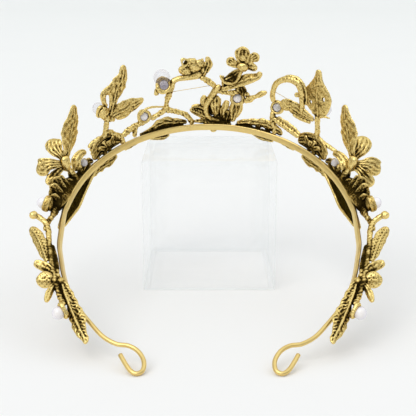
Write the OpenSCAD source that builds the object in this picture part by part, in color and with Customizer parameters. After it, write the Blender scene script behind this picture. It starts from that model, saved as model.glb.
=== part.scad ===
// Crown headband of cast leaves, blossoms and pearls, leaning on a clear cube.
// Millimetres. X is to the right, Y away from the side that shows, Z up.
// The crown is laid out in its own frame: an oval band in the plane z = 0 whose
// front is at +Y, with everything placed by [degrees round from the front,
// height above the band, distance outwards from the band's middle line].

/* [Band] */
// Half the width of the oval band
band_side = 67.5; // [64:0.5:72]
// From the oval's middle to the front of the band
band_front = 78; // [74:0.5:82]
// Height of the flat strip
strip_h = 3.2; // [3:0.1:3.4]
// Thickness of the flat strip
strip_t = 1.5; // [1.3:0.1:1.6]
// Diameter of the round wire that the strip runs out into
wire_d = 1.9; // [1.7:0.1:2.1]
// How far the strip's top edge leans outwards, as the sprays on it do
flare = 22; // [20:1:26]

/* [Stand] */
// Side of the clear cube
cube_side = 64; // [60:1:64]
// Wall of the clear cube
cube_wall = 3.2; // [2.5:0.1:4]
// Slope of the crown's plane as it leans on the cube
lean = 27.3; // [27:0.1:30]

/* [Pearls] */
// Diameter of the large bead beside the upper rose
bead_d = 8.4; // [7.6:0.1:8.6]
// Diameter of the two beads beside the tall side leaves
side_bead_d = 6; // [5.4:0.1:6.2]
// Diameter of the pearls at the sides and ends
pearl_d = 5.4; // [5:0.1:5.6]
// Diameter of the pearls set in the open rings
ring_pearl_d = 5.6; // [5.2:0.1:5.8]

/* [Fit] */
// Clearance between neighbouring castings
gap = 0.2; // [0.15:0.01:0.25]

/* [Hidden] */

gold = "goldenrod";
pearl_white = "ivory";
wire_r = wire_d / 2;
// Distance down the slope from the oval's middle to where the end loops stand
foot_drop = 76.9;
// The cube's front face stands this far behind the middle of the whole object
cube_y = 16.8;
// The oval's middle lies this far in front of the cube's front face
crown_back = 28.4;
crown_h = foot_drop * sin(lean) + wire_r;
up = [0, 0, 1];

// Short vector helpers
function unit(v) = v / norm(v);
function mix(a, b, t) = a + (b - a) * t;

// The oval and its own directions at a degrees round
function oval(a) = [band_side * sin(a), band_front * cos(a), 0];
function outward(a) = unit([band_front * sin(a), band_side * cos(a), 0]);
function along(a) = unit([band_side * cos(a), -band_front * sin(a), 0]);
// A place [round, up, out] and a direction [along, up, out] as x, y, z
function spot(p) = oval(p[0]) + p[2] * outward(p[0]) + p[1] * up;
function heading(a, d) = d[0] * along(a) + d[1] * up + d[2] * outward(a);

// A smooth run through rows of any numbers, with steps between each two rows
function curve(a, b, c, d, t) =
    b + (c - a) * (t / 2)
    + (a * 2 - b * 5 + c * 4 - d) * (t * t / 2)
    + (b * 3 - a - c * 3 + d) * (t * t * t / 2);
function smooth(rows, steps) = [
    for (i = [0 : len(rows) - 2], k = [0 : steps - 1])
        curve(rows[max(i - 1, 0)], rows[i], rows[i + 1],
              rows[min(i + 2, len(rows) - 1)], k / steps),
    rows[len(rows) - 1]
];

// A solid through a list of sections, each a ring of the same number of points
module skin(sections) {
    n = len(sections[0]);
    last = len(sections) - 1;
    points = [for (s = sections, p = s) p];
    walls = [
        for (i = [0 : last - 1], j = [0 : n - 1], half = [0, 1])
            let (k = (j + 1) % n, low = i * n, high = low + n)
            half == 0 ? [low + j, low + k, high + k] : [low + j, high + k, high + j]
    ];
    first_cap = [for (j = [1 : n - 2]) [0, j + 1, j]];
    last_cap = [for (j = [1 : n - 2]) [last * n, last * n + j, last * n + j + 1]];
    polyhedron(points, concat(walls, first_cap, last_cap));
}

// A rod along places whose rows are [x, y, z, half width, half thickness];
// flats holds the direction that the thickness is measured in at each place
module rod(rows, flats, sides = 6, grow = 0) {
    last = len(rows) - 1;
    middle = [for (r = rows) [r[0], r[1], r[2]]];
    skin([
        for (i = [0 : last])
            let (
                ahead = unit(middle[min(i + 1, last)] - middle[max(i - 1, 0)]),
                wide = unit(cross(ahead, flats[i])),
                thick = cross(wide, ahead)
            )
            [for (j = [0 : sides - 1])
                let (turn = 360 * (j + 0.5) / sides)
                middle[i] + wide * cos(turn) * (rows[i][3] + grow)
                    + thick * sin(turn) * (rows[i][4] + grow)]
    ]);
}

// The same for rows of [round, up, out, half width, half thickness], smoothed
module stem(rows, flat = [0, 0, 1], steps = 3, sides = 6, grow = 0) {
    run = smooth(rows, steps);
    rod([for (r = run) concat(spot(r), [r[3], r[4]])],
        [for (r = run) heading(r[0], flat)], sides, grow);
}

// A knobbly twig: rows are [round, up, out, radius]
module twig(rows) {
    for (i = [0 : len(rows) - 2])
        hull() {
            translate(spot(rows[i])) sphere(rows[i][3], $fn = 4);
            translate(spot(rows[i + 1])) sphere(rows[i + 1][3], $fn = 4);
        }
}

// The same as one rod of five sides; flat is a direction that no stretch runs in
module branch(rows, flat) {
    rod([for (r = rows) concat(spot(r), [r[3], r[3]])], [for (r = rows) heading(r[0], flat)], 5);
}

module knob(p, r) {
    translate(spot(p)) sphere(r, $fn = 6);
}

// Outlines: rows are [share of the length, share of the half width]
leaf_line = [[0, 0.16], [0.22, 0.72], [0.48, 1], [0.76, 0.68], [1, 0.1]];
saw_line = [[0, 0.16], [0.2, 0.82], [0.27, 0.74], [0.46, 1], [0.53, 0.84], [0.76, 0.72], [1, 0.12]];
petal_line = [[0, 0.24], [0.4, 0.7], [0.8, 1], [0.95, 0.76], [1, 0.3]];
spoon_line = [[0, 0.34], [0.3, 0.9], [0.7, 0.96], [1, 0.4]];
rose_line = [[0, 0.34], [0.5, 1], [1, 0.45]];

// A leaf or petal from base to tip, x, y, z. back is the side its rib stands on.
// bow lifts its middle that way, cup bends its edges the other way, and sweep
// bends it sideways
module blade(base, tip, back, half_w, line, bow = 0, cup = 0, sweep = 0, rib = 0.8, hollow = 0.4) {
    run = tip - base;
    side = unit(cross(run, back));
    face = unit(cross(side, run));
    skin([
        for (row = line)
            let (
                arc = 4 * row[0] * (1 - row[0]),
                middle = base + run * row[0] + face * bow * arc + side * sweep * arc,
                wing = side * half_w * row[1],
                drop = face * cup * row[1]
            )
            [middle - wing - drop, middle - face * hollow, middle + wing - drop, middle + face * rib]
    ]);
}

// The same between two places [round, up, out], with back as [along, up, out]
module leaf(base, tip, back, half_w, line = leaf_line, bow = 0, cup = 0, sweep = 0, rib = 0.8) {
    blade(spot(base), spot(tip), heading((base[0] + tip[0]) / 2, back),
          half_w, line, bow, cup, sweep, rib);
}

// Stands what is drawn along +Z at a place, facing a direction [along, up, out];
// the drawing's x axis lies along the band, turned by roll
module stand_at(p, face, roll = 0) {
    z = unit(heading(p[0], face));
    x = unit(along(p[0]) - z * (along(p[0]) * z));
    y = cross(z, x);
    o = spot(p);
    multmatrix([
        [x[0], y[0], z[0], o[0]],
        [x[1], y[1], z[1], o[1]],
        [x[2], y[2], z[2], o[2]],
        [0, 0, 0, 1]
    ]) rotate([0, 0, roll]) children();
}

// An open ring that a pearl sits in, clear of it by the gap; its back is at z = 0
ring_back = 0.5;
ring_depth = 1.6;
ring_sides = 12;
// Height of a pearl's middle above the ring's back
function seat(hole_r, pearl_r) = ring_back + sqrt(pow(pearl_r + gap, 2) - pow(hole_r, 2));
// Radius of the ring's inside at a height
function bowl(hole_r, pearl_r, z) = sqrt(pow(pearl_r + gap, 2) - pow(seat(hole_r, pearl_r) - z, 2));
module ring(size) {
    hole_r = size[1];
    pearl_r = size[2] / 2;
    // The inside is widened so that its flats, not its corners, keep the gap
    clear = 1 / cos(180 / ring_sides);
    rotate_extrude($fn = ring_sides) polygon([
        [hole_r * clear, 0], [size[0], 0], [size[0], ring_depth],
        [bowl(hole_r, pearl_r, ring_depth) * clear, ring_depth], [(hole_r + 0.1) * clear, ring_back]
    ]);
}
// Middle of the pearl in a ring at a place, x, y, z
function pearl_at(p, face, size) = spot(p) + unit(heading(p[0], face)) * seat(size[1], size[2] / 2);

// A blossom: petals open round +Z, with the boss behind at z = 0. Petal rows are
// [turn, reach, dish, half width]
module blossom(petals, boss_r, ribs = []) {
    for (p = petals)
        rotate([0, 0, -p[0]]) {
            base = [0.6, 0, 0.5];
            tip = [p[1] * cos(p[2]), 0, 0.5 + p[1] * sin(p[2])];
            blade(base, tip, [0, 0, -1], p[3], petal_line, 0.9, 0.6, 0, 0.7);
            for (spread = ribs)
                hull() {
                    translate(mix(base, tip, 0.25) + [0, 0.5 * spread * p[3], -0.7]) sphere(0.4, $fn = 4);
                    translate(mix(base, tip, 0.82) + [0, spread * p[3], -0.5]) sphere(0.4, $fn = 4);
                }
        }
    rotate_extrude($fn = 9) polygon([[0, -1.4], [boss_r - 0.4, -1.2], [boss_r, 0.9], [0, 1.6]]);
}

// A half-open rose: two rings of petals round a bud, opening along +Z
module rose(r, h) {
    for (turn = [0 : 72 : 288])
        rotate([0, 0, turn])
            hull() blade([0.3 * r, 0, 0], [0.9 * r, 0, h], [1, 0, 0], 0.72 * r, rose_line, 0.15 * r, 0.1 * r);
    for (turn = [36 : 120 : 276])
        rotate([0, 0, turn])
            hull() blade([0.1 * r, 0, 0.2 * h], [0.36 * r, 0, 1.08 * h], [1, 0, 0], 0.5 * r, rose_line, 0.1 * r);
    rotate_extrude($fn = 6) polygon([[0, -0.24 * h], [0.5 * r, -0.02 * h], [0.5 * r, 0.4 * h], [0, 0.8 * h]]);
}

// Places the crown as it leans on the cube
module leaning() {
    translate([0, cube_y - crown_back, crown_h]) rotate([lean, 0, 0]) children();
}
module other_side() {
    mirror([1, 0, 0]) children();
}

// The band's rows are [x, y, z, half height, half thickness]
ring_step = 7;
// The oval runs this far round, and arm_line takes over
oval_end = 84;
// The arm and the hooked loop at its end, in the band's plane: rows are [x, y] at
// the right
arm_line = [
    [66.8, -4], [65.2, -14], [62.6, -24.5], [58.7, -34.6], [53.3, -44.4], [47.2, -52.9],
    [42.4, -58.6], [37, -62.1], [32.4, -62.9], [28.4, -65.6], [25.8, -70.4], [25.9, -75.2],
    [28.6, -76.8], [31.6, -74.2], [35.6, -66.8]
];
// Past this the flat strip tapers into the wire, which is reached at wire_from
taper_from = 106;
wire_from = 124;

// The strip is a little squarer than the oval and stands above its plane: rows are
// [degrees round, height] and [degrees round, distance outwards]
strip_rise = [[0, 0.9], [45, 1.1], [60, 1.1], [72, 0.9], [90, 0.4], [106, 0.4], [124, 0]];
strip_out = [[0, 0.5], [24, 0.8], [45, 1.3], [60, 1], [72, 0.4], [90, -0.4], [104, -0.4], [114, 0]];
function on_strip(p, a) = p + outward(a) * lookup(a, strip_out) + up * lookup(a, strip_rise);

function taper(a) = max(0, min(1, (a - taper_from) / (wire_from - taper_from)));
function size_at(a) = [mix(strip_h / 2, wire_r, taper(a)), mix(strip_t / 2, wire_r, taper(a))];
oval_part = [for (a = [0 : ring_step : oval_end - 1]) concat(on_strip(oval(a), a), size_at(a))];
arm_part = [
    for (p = smooth(concat([for (k = [1, 0]) [oval(oval_end - k)[0], oval(oval_end - k)[1]]], arm_line), 2))
        let (a = atan2(p[0] / band_side, p[1] / band_front))
        concat(on_strip([p[0], p[1], 0], a), size_at(a))
];
function flipped(rows) = [for (i = [len(rows) - 1 : -1 : 0]) concat([-rows[i][0]], [for (k = [1 : 4]) rows[i][k]])];
half_line = concat(oval_part, arm_part);
whole_line = concat(flipped(half_line), [for (i = [1 : len(half_line) - 1]) half_line[i]]);

// The band: a slightly domed strip, its top leaning outwards
module band_solid(grow = 0) {
    last = len(whole_line) - 1;
    bevel = [[1, 0.5], [0, 1], [-1, 0.5], [-1, -0.5], [0, -1], [1, -0.5]];
    middle = [for (r = whole_line) [r[0], r[1], r[2]]];
    skin([
        for (i = [0 : last])
            let (
                ahead = unit(middle[min(i + 1, last)] - middle[max(i - 1, 0)]),
                out = unit(cross(up, ahead)),
                high = up * cos(flare) + out * sin(flare),
                thick = out * cos(flare) - up * sin(flare)
            )
            [for (b = bevel)
                middle[i] + high * b[0] * (whole_line[i][3] + grow) + thick * b[1] * (whole_line[i][4] + grow)]
    ]);
}

module display_box() {
    inside = cube_side - 2 * cube_wall;
    color("lightcyan", 0.4)
    translate([-cube_side / 2, cube_y, 0])
    difference() {
        cube(cube_side);
        translate([cube_wall, cube_wall, -1]) cube([inside, inside, cube_side - cube_wall + 1]);
    }
}

module band() {
    color(gold) leaning() band_solid();
}

// What is soldered from here on stays clear of the band by the gap
module clear_of_band() {
    difference() {
        children();
        band_solid(gap);
    }
}

// Ring sizes are [outside radius, hole radius, diameter of its pearl]

// The rose spray, left of the middle
rose_face = [-0.2, 0.75, 0.65];
bead_spot = [-17.2, 25, 6.7];
bead_face = [0, 0.5, 0.86];
bead_ring = [4.1, 2.5, bead_d];
module rose_spray() {
    color(gold) leaning() clear_of_band() difference() {
        union() {
            branch([[-17.4, 11, 4.6, 1.2], [-16.8, 15.5, 5.3, 1.1], [-15.9, 18.5, 5.8, 1.5],
                    [-14.7, 22.2, 6.3, 1.3], [-13.2, 26.6, 7.1, 1.1]], [0, 0, 1]);
            branch([[-18.4, 12.2, 4.8, 1.2], [-16.2, 11, 4.5, 1.4], [-13, 9.3, 4.1, 1.1], [-9.5, 7, 3.6, 1.2],
                    [-6.6, 1.2, 2.3, 1.3]], [0, 0, 1]);
            branch([[-16.8, 12, 4.7, 1.2], [-20, 9.7, 4.4, 1], [-22.2, 8.3, 4.2, 1.1]], [0, 0, 1]);
            branch([[-19, 22.8, 8, 0.9], [-19.7, 19.9, 7.4, 1.1]], [0, 0, 1]);
            stand_at(bead_spot, bead_face) ring(bead_ring);
            leaf([-14, 25.6, 6.8], [-2, 27.6, 7.2], [0, -0.3, -1], 2.2, leaf_line, 0.8);
            stand_at([-6.4, 27.4, 7.6], rose_face) rose(5, 7.4);
            leaf([-3, 26.4, 7.1], [-0.2, 37.6, 8.6], [0.3, 0, -1], 1.6, spoon_line);
            leaf([-3.4, 27, 7.3], [-2.6, 34.8, 9.6], [0.3, 0, -1], 1.4);
            leaf([-2.6, 26.4, 7.1], [1.8, 34.2, 8.4], [0.3, 0, -1], 1.1);
            branch([[-3.6, 27.4, 7.1, 1.2], [-0.2, 24.4, 6.7, 1.3], [1.6, 21.2, 6.2, 1]], [0, 0, 1]);
        }
        main_stem(gap);
    }
}

// The centre spray: a rose in the curl of the main stem, a pearl in its ring
// with a twig and bract, and a blossom with its long leaf above
main_rows = [
    [2.9, 20.8, 6.1, 1.3, 1.3], [1, 16.5, 5.5, 1.5, 1.3], [-1.3, 12, 4.8, 1.3, 1.3],
    [-1.5, 8, 4.2, 1.2, 1.3], [0.1, 4.5, 3.6, 1.1, 1.2], [4.3, 2.7, 3, 1, 1.1]
];
module main_stem(grow = 0) {
    stem(main_rows, [0, 0, 1], 2, 6, grow);
}
centre_spot = [10.9, 16, 5.4];
ring_face = [0, -0.4, 0.92];
centre_ring = [3.7, 2.3, ring_pearl_d];
top_petals = [[90, 9.4, 8, 3.5], [158, 8.2, 12, 3], [36, 9, 14, 3.1], [-14, 8, 16, 3.1], [226, 7.4, 16, 3]];
module centre_spray() {
    color(gold) leaning() clear_of_band() union() {
        main_stem();
        stand_at([3, 3, 4.4], [0, 1, 0.3]) rose(4.2, 12.5);
        leaf([5.6, 2.6, 3.2], [9, 13, 4.9], [0, 0.2, -1], 2.6, spoon_line);
        leaf([-1, 3.4, 3.4], [-8.2, 11.6, 4.2], [0, 0.2, -1], 2.6);
        leaf([-1, 3.4, 3.6], [-6.6, 7.6, 4.8], [0, 0.2, -1], 1.9);
        leaf([-1.4, 7.5, 4.2], [-3.6, 14.6, 4.9], [0, 0.2, -1], 1.3);
        branch([[-1.5, 1.6, 2.3, 1.2], [3.5, 1.2, 2.3, 1.2], [8.8, 1.6, 2.4, 1.2]], [0, 0, 1]);
        leaf([1.8, 2, 2.6], [1.6, -6.6, 2.8], [0, 0.2, -1], 2.4);
        branch([[2.4, 20, 6, 1.2], [6, 18.8, 5.9, 1.1], [9, 18.8, 6, 1.2], [12.4, 20.2, 6.6, 1.2],
                [15, 18, 6.2, 1]], [0, 0, 1]);
        stand_at(centre_spot, ring_face) ring(centre_ring);
        leaf([11.1, 13.2, 4.8], [9, 2.2, 3], [0, 0.1, -1], 2.8);
        branch([[13.4, 15.2, 5.6, 1.3], [15.8, 16.4, 5.6, 1.5], [17.4, 18.4, 5.9, 1],
                [19.3, 20.4, 6.1, 1.5], [22, 22.2, 6.4, 0.9]], [0, 0, 1]);
        stem([[2.9, 20, 6.1, 1.3, 1.3], [7.1, 23.6, 6.6, 1.2, 1.2], [10.8, 27.6, 7.2, 1.1, 1.1],
              [12.3, 32.4, 7.9, 1.1, 1.1]]);
        branch([[7.6, 23.2, 6.6, 0.9], [4.3, 28.9, 7.3, 0.6]], [0, 0, 1]);
        leaf([4, 20.6, 7.2], [10.6, 31, 9.2], [0, 0.2, -1], 2.6);
        leaf([4.4, 19.6, 6.2], [20.4, 32.4, 7.9], [0, -0.2, -1], 3.2, leaf_line, -0.4, 0.6, 1);
        stand_at([12.5, 33.5, 8.4], [0, -0.3, 0.95]) blossom(top_petals, 2.3);
    }
}

// The leaf spray at the left: a pearl in its ring, a branch and two leaves
left_spot = [-26.4, 11, 4.1];
left_ring = [3.5, 2.1, ring_pearl_d];
left_bead_spot = [-43, 22.6, 7.2];
leaf_bead_face = [0.1, 0.1, 0.95];
leaf_bead_ring = [3.2, 1.8, side_bead_d];
module leaf_spray_left() {
    color(gold) leaning() clear_of_band() union() {
        stand_at(left_spot, ring_face) ring(left_ring);
        twig([[-19.6, 13.6, 4.9, 0.7], [-24.6, 15.4, 5, 0.7], [-29, 13, 4.6, 0.8]]);
        twig([[-28.8, 8.4, 4, 1.1], [-33.2, 7.4, 3.7, 1.3], [-37.6, 6, 3.6, 1.2], [-41.6, 10.8, 4.2, 1.1],
              [-43.8, 12.6, 4.9, 1.2]]);
        twig([[-37.6, 6, 3.6, 1.2], [-37.6, 1.4, 2, 1.3]]);
        stem([[-41.6, 19.4, 6.3, 1.4, 1.2], [-43.4, 14, 5.1, 1.2, 1.2], [-45.2, 10.3, 4.7, 1, 1],
              [-51.5, 7.2, 5.6, 0.9, 0.9]]);
        leaf([-40.8, 18.6, 6], [-32.4, 41.2, 9.2], [0, 0.1, -1], 6.2, saw_line, 1, 0.8);
        leaf([-38.6, 15.6, 5.4], [-25.9, 19.9, 5.9], [0, 0.1, -1], 4, saw_line, 0.6, 0.4);
        twig([[-41.6, 17.4, 5.8, 1.2], [-38.6, 15.4, 5.4, 1]]);
        stand_at(left_bead_spot, leaf_bead_face) ring(leaf_bead_ring);
    }
}

// The arch at the right: a pearl in its ring under a leaf that curls over
right_spot = [26.8, 16, 5.4];
right_ring = [3.6, 2.1, ring_pearl_d];
module arch_spray() {
    color(gold) leaning() clear_of_band() union() {
        stand_at(right_spot, ring_face) ring(right_ring);
        stem([[25.4, 18.4, 5.8, 1.5, 1.2], [24.4, 22.6, 6.4, 1.5, 1.2], [25.3, 29, 7.4, 1.6, 1.1],
              [29.1, 33.2, 8, 1.6, 1.1], [33.7, 33.7, 8.1, 2, 1], [36.2, 29.8, 7.5, 2, 1],
              [37.4, 22.4, 6.4, 1.6, 1.1], [37.6, 19, 5.9, 1.2, 1]]);
        twig([[36.6, 27, 7, 0.8], [34.2, 27, 7, 1.4]]);
        leaf([28.7, 19, 6.8], [42.4, 17.7, 5.6], [0, 0.1, -1], 4.4, leaf_line, 0.8, 0.4);
        twig([[26.4, 12.6, 4.6, 1.2], [26.4, 9.4, 4, 1.3], [27.2, 5.6, 3.4, 1.1], [28.4, 2.2, 1.9, 1.3]]);
        twig([[26.4, 9.6, 4, 1.2], [29.6, 8.6, 3.9, 1.3], [32.6, 7.6, 3.8, 1.1], [35.2, 6.9, 3.7, 1.3],
              [38.4, 5.9, 3.5, 1]]);
    }
}

// The leaf spray at the right: a broad pierced leaf and a bead in its ring
right_bead_spot = [44.8, 23.6, 7.2];
module leaf_spray_right() {
    color(gold) leaning() clear_of_band() difference() {
        union() {
            leaf([44.8, 20.6, 6.1], [41.6, 44.6, 9.6], [0, 0.1, -1], 7, saw_line, 0.8, 1);
            stand_at(right_bead_spot, leaf_bead_face) ring(leaf_bead_ring);
            twig([[44.2, 21, 6.2, 1.2], [45, 17.6, 5.6, 1.1], [45.8, 14, 5, 1.2], [46.2, 11, 4.8, 1],
                  [49.6, 9, 5.2, 1], [53.3, 7.9, 5.8, 1]]);
            twig([[45.8, 14, 5, 1.1], [45.2, 10.6, 4.8, 0.9]]);
            twig([[45, 17.8, 5.6, 1], [43.6, 19.4, 6.8, 0.9], [41.4, 20.6, 7.4, 0.9]]);
        }
        for (hole = [[41.2, 27.4], [46.6, 28.6]])
            hull() for (lift = [-1.2, 1.2])
                stand_at([hole[0], hole[1] + lift, 7], [0, -0.2, 1])
                    translate([0, 0, -6]) cylinder(12, 0.6, 0.6, $fn = 8);
    }
}

// A rosette of small ribbed petals low on the band
module rosette() {
    clear_of_band() union() {
        for (petal = [[20, 7.4], [88, 4], [140, 6], [185, 7.4], [240, 6], [300, 6.2]])
            stand_at([44.8, 4.4, 3.2], [0, 0.5, 0.86], -petal[0]) {
                blade([0.5, 0, 0.2], [petal[1], 0, 1.6], [0, 0, -1], 2.3, petal_line, 0.6, 0.4, 0, 0.6);
                hull() {
                    translate([1, 0, 1.2]) sphere(0.8, $fn = 4);
                    translate([3, 0, 2.6]) sphere(1, $fn = 4);
                }
            }
        hull() {
            translate(spot([43.6, 1.4, 2.4])) sphere(1.3, $fn = 5);
            translate(spot([44.8, 5, 4])) sphere(1.7, $fn = 5);
        }
        hull() {
            translate(spot([47.4, 1.4, 2.4])) sphere(1.3, $fn = 5);
            translate(spot([44.8, 5, 4])) sphere(1.7, $fn = 5);
        }
    }
}
module rosette_right() {
    color(gold) leaning() rosette();
}
module rosette_left() {
    color(gold) leaning() other_side() rosette();
}

// The large blossom at each side, with a tall leaf: petal rows are
// [turn, reach, dish, half width]
side_spot = [66, 13.5, 5.5];
side_face = [-0.17, -0.43, 0.89];
left_petals = [[103, 14.4, 32, 4], [22, 14.6, 40, 4], [-46, 13.8, 34, 3.6]];
right_petals = [[124, 13.6, 30, 4], [30, 14.4, 40, 4], [-42, 12.4, 34, 3.6]];
inner_petals = [[158, 8.4, 20, 3.4], [226, 9, 20, 3.2]];
module side_blossom(side_petals) {
    clear_of_band() union() {
        stand_at(side_spot, side_face) {
            blossom(side_petals, 2.2, [-0.4, 0.4]);
            blossom(inner_petals, 1.6);
        }
        leaf([63.6, 16, 6.2], [54.6, 35.6, 8.6], [0.4, 0, -1], 4.6, saw_line, 0.8, 0.6, -1);
        twig([[63.8, 16.4, 6.2, 1.1], [65.6, 12.6, 5.8, 1.3], [64.4, 7, 3.6, 1.2], [63.6, 1.6, 2, 1.2]]);
        twig([[63.6, 1.6, 2.2, 1.1], [60.4, 1.4, 2.2, 1.1], [60.1, 4.6, 3.2, 1.2], [59.6, 7.4, 3.8, 1.2]]);
    }
}
module side_blossom_right() {
    color(gold) leaning() side_blossom(right_petals);
}
module side_blossom_left() {
    color(gold) leaning() other_side() side_blossom(left_petals);
}

// The dark leaves between the blossom and the band, with a pearl's ring
side_pearl_spot = [81, 7, 6.2];
side_pearl_face = [-0.1, 0.2, 0.97];
side_pearl_ring = [3.2, 1.9, pearl_d];
module side_leaves() {
    clear_of_band() union() {
        leaf([70, 1.6, 2.4], [68.4, 10.6, 5.6], [0.6, 0.3, -0.8], 2);
        leaf([72.4, 1.6, 2.4], [71.6, 12.4, 7.6], [0.6, 0.3, -0.8], 2.2);
        leaf([75, 1.6, 2.4], [75.4, 12, 7], [0.6, 0.3, -0.8], 2.2);
        leaf([77.4, 1.6, 2.4], [73.4, 8, 9], [0.6, 0.3, -0.8], 2);
        twig([[69, 1.3, 2.3, 1.1], [72, 1.3, 2.3, 1.1], [75, 1.3, 2.3, 1.1], [78, 1.4, 2.4, 1.2],
              [80.2, 3.4, 4.6, 1.6], [80.8, 4.3, 7.2, 0.8]]);
        twig([[69, 1.3, 2.2, 1.2], [67, 1.3, 2.2, 1], [67.6, 4, 3.4, 0.9], [68, 6.4, 4.2, 0.9]]);
        stand_at(side_pearl_spot, side_pearl_face) ring(side_pearl_ring);
    }
}
module side_leaves_right() {
    color(gold) leaning() side_leaves();
}
module side_leaves_left() {
    color(gold) leaning() other_side() side_leaves();
}

// The long leaf that hangs below the band at each side, against its outer face:
// rows are [round, up, half width]
low_rows = [[50, 0.2, 0.8], [54, -0.6, 2], [62, -2.9, 3.2], [69, -4, 4.2], [76, -3.2, 3.5], [82, -2.2, 2], [86, -1, 0.7]];
low_t = 1;
function against_band(a, height, half_t) =
    lookup(a, strip_out) + (height - lookup(a, strip_rise)) * tan(flare)
    + (strip_t / 2 + gap + half_t) / cos(flare);
module low_leaf() {
    stem([for (r = low_rows) [r[0], r[1], against_band(r[0], r[1], low_t / 2), r[2], low_t / 2]],
         [0, -sin(flare), cos(flare)], 2);
}
module low_leaf_right() {
    color(gold) leaning() low_leaf();
}
module low_leaf_left() {
    color(gold) leaning() other_side() low_leaf();
}

// The spray along each arm's end: twig, leaves, rosebud and a pearl's ring
end_pearl_spot = [125.2, 3.9, 4.7];
end_pearl_face = [0.1, 0, 1];
end_pearl_ring = [3.1, 1.8, pearl_d];
module end_spray() {
    clear_of_band() union() {
        branch([[113.4, 3.4, 2.7, 1.3], [107, 3.2, 2.6, 1.1], [101, 3, 2.5, 1], [95, 2.4, 3.6, 1.1],
                [90.5, 3, 5.2, 1.1], [87.4, 4, 6.6, 1.2], [86.3, 5, 9, 1.1], [85.5, 6, 11, 1.9], [85.3, 6.2, 12.4, 1.1]],
               [0, 1, 0]);
        branch([[90, 3.4, 5.8, 0.9], [84.6, 2.6, 5, 1.1], [81.6, 2, 3.6, 1], [80.4, 1, 2.2, 0.9]], [0, 1, 0]);
        leaf([103.4, 3, 3.6], [89, 2.5, 13.4], [0.74, 0.67, 0], 3.4, saw_line, 0.4, 0.4, -1.2);
        leaf([110, 3.8, 3.4], [104, 4, 10.4], [0.74, 0.67, 0], 1.7);
        leaf([99, 2.8, 2.6], [111, 3, 2.8], [0.2, 0.8, 0.6], 1.6);
        stand_at([111.6, 3, 4.6], [0.1, 0, 1]) rose(3.7, 5.4);
        branch([[110.6, 3.4, 2.4, 1.3], [111.4, 3, 4.8, 1.5]], [0, 1, 0]);
        leaf([113.6, 3, 3.4], [119.4, 2.5, 9], [0.74, 0.67, 0], 1.5, spoon_line);
        knob([113, 2.8, 0.7], 2);
        leaf([113.4, 3, 2.6], [139.8, 1.6, 6.2], [0, 0.9, 0.42], 3.3, saw_line, 1.4, 0.4, 0.3);
        branch([[112, 3.4, 2.7, 1.2], [118, 1.6, 3, 1.1], [121.6, 2.2, 3.4, 1.3], [123.2, 3.2, 5.1, 0.9]], [0, 1, 0]);
        stand_at(end_pearl_spot, end_pearl_face) ring(end_pearl_ring);
    }
}
module end_spray_right() {
    color(gold) leaning() end_spray();
}
module end_spray_left() {
    color(gold) leaning() other_side() end_spray();
}

// The long leaves along the front of the band; the lower ones hang to the cube
module front_leaves() {
    clear_of_band() union() {
        leaf([10.2, 2.4, 2.8], [26.4, 4.4, 2.8], [0, 0.1, -1], 4.2, saw_line, -0.6, 0.4);
        leaf([11.6, 0.6, 2.6], [22.6, -6.6, 2.8], [0, 0.1, -1], 2.9, saw_line, -0.4);
        leaf([24.4, 0.4, 2.4], [37.6, -4.4, 2.6], [0, 0.1, -1], 2.2, saw_line, -0.4);
        twig([for (round = [10.6 : 1.9 : 25.8]) [round, 1, 2.2, 1]]);
    }
}
module front_leaves_right() {
    color(gold) leaning() front_leaves();
}
module front_leaves_left() {
    color(gold) leaning() other_side() front_leaves();
}

// Pearls and beads, each just clear of its ring
module pearl(p, face, size) {
    color(pearl_white) leaning() translate(pearl_at(p, face, size)) sphere(size[2] / 2, $fn = 32);
}
module mirrored_pearl(p, face, size) {
    color(pearl_white) leaning() other_side()
        translate(pearl_at(p, face, size)) sphere(size[2] / 2, $fn = 32);
}
module rose_bead() pearl(bead_spot, bead_face, bead_ring);
module ring_pearl_centre() pearl(centre_spot, ring_face, centre_ring);
module ring_pearl_left() pearl(left_spot, ring_face, left_ring);
module ring_pearl_right() pearl(right_spot, ring_face, right_ring);
module leaf_bead_left() pearl(left_bead_spot, leaf_bead_face, leaf_bead_ring);
module leaf_bead_right() pearl(right_bead_spot, leaf_bead_face, leaf_bead_ring);
module side_pearl_right() pearl(side_pearl_spot, side_pearl_face, side_pearl_ring);
module side_pearl_left() mirrored_pearl(side_pearl_spot, side_pearl_face, side_pearl_ring);
module end_pearl_right() pearl(end_pearl_spot, end_pearl_face, end_pearl_ring);
module end_pearl_left() mirrored_pearl(end_pearl_spot, end_pearl_face, end_pearl_ring);
module side_stone() {
    color(pearl_white) leaning() translate(spot([57.4, 6, 3.6])) sphere(2, $fn = 24);
}
module side_stone_right() side_stone();
module side_stone_left() other_side() side_stone();

display_box();
band();
rose_spray();
centre_spray();
leaf_spray_left();
arch_spray();
leaf_spray_right();
rosette_left();
rosette_right();
side_blossom_left();
side_blossom_right();
side_leaves_left();
side_leaves_right();
low_leaf_left();
low_leaf_right();
end_spray_left();
end_spray_right();
front_leaves_left();
front_leaves_right();
rose_bead();
ring_pearl_centre();
ring_pearl_left();
ring_pearl_right();
leaf_bead_left();
leaf_bead_right();
side_pearl_left();
side_pearl_right();
end_pearl_left();
end_pearl_right();
side_stone_left();
side_stone_right();
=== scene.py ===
"""Crown headband of antique gold castings and pearls, leaning on a clear display box.

The crown is modelled in millimetres in its own frame: an oval band in the plane
z = 0 whose front is at +Y, with places given as [degrees round from the front,
height above the band, distance outwards from the band's middle line]. Each
casting is then leaned, made metres and put in the row frame.
"""

import logging
import math
from dataclasses import dataclass, field
from enum import Enum
from typing import Callable, NamedTuple

import bpy
import numpy as np
from mathutils import Matrix, Vector

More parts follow.
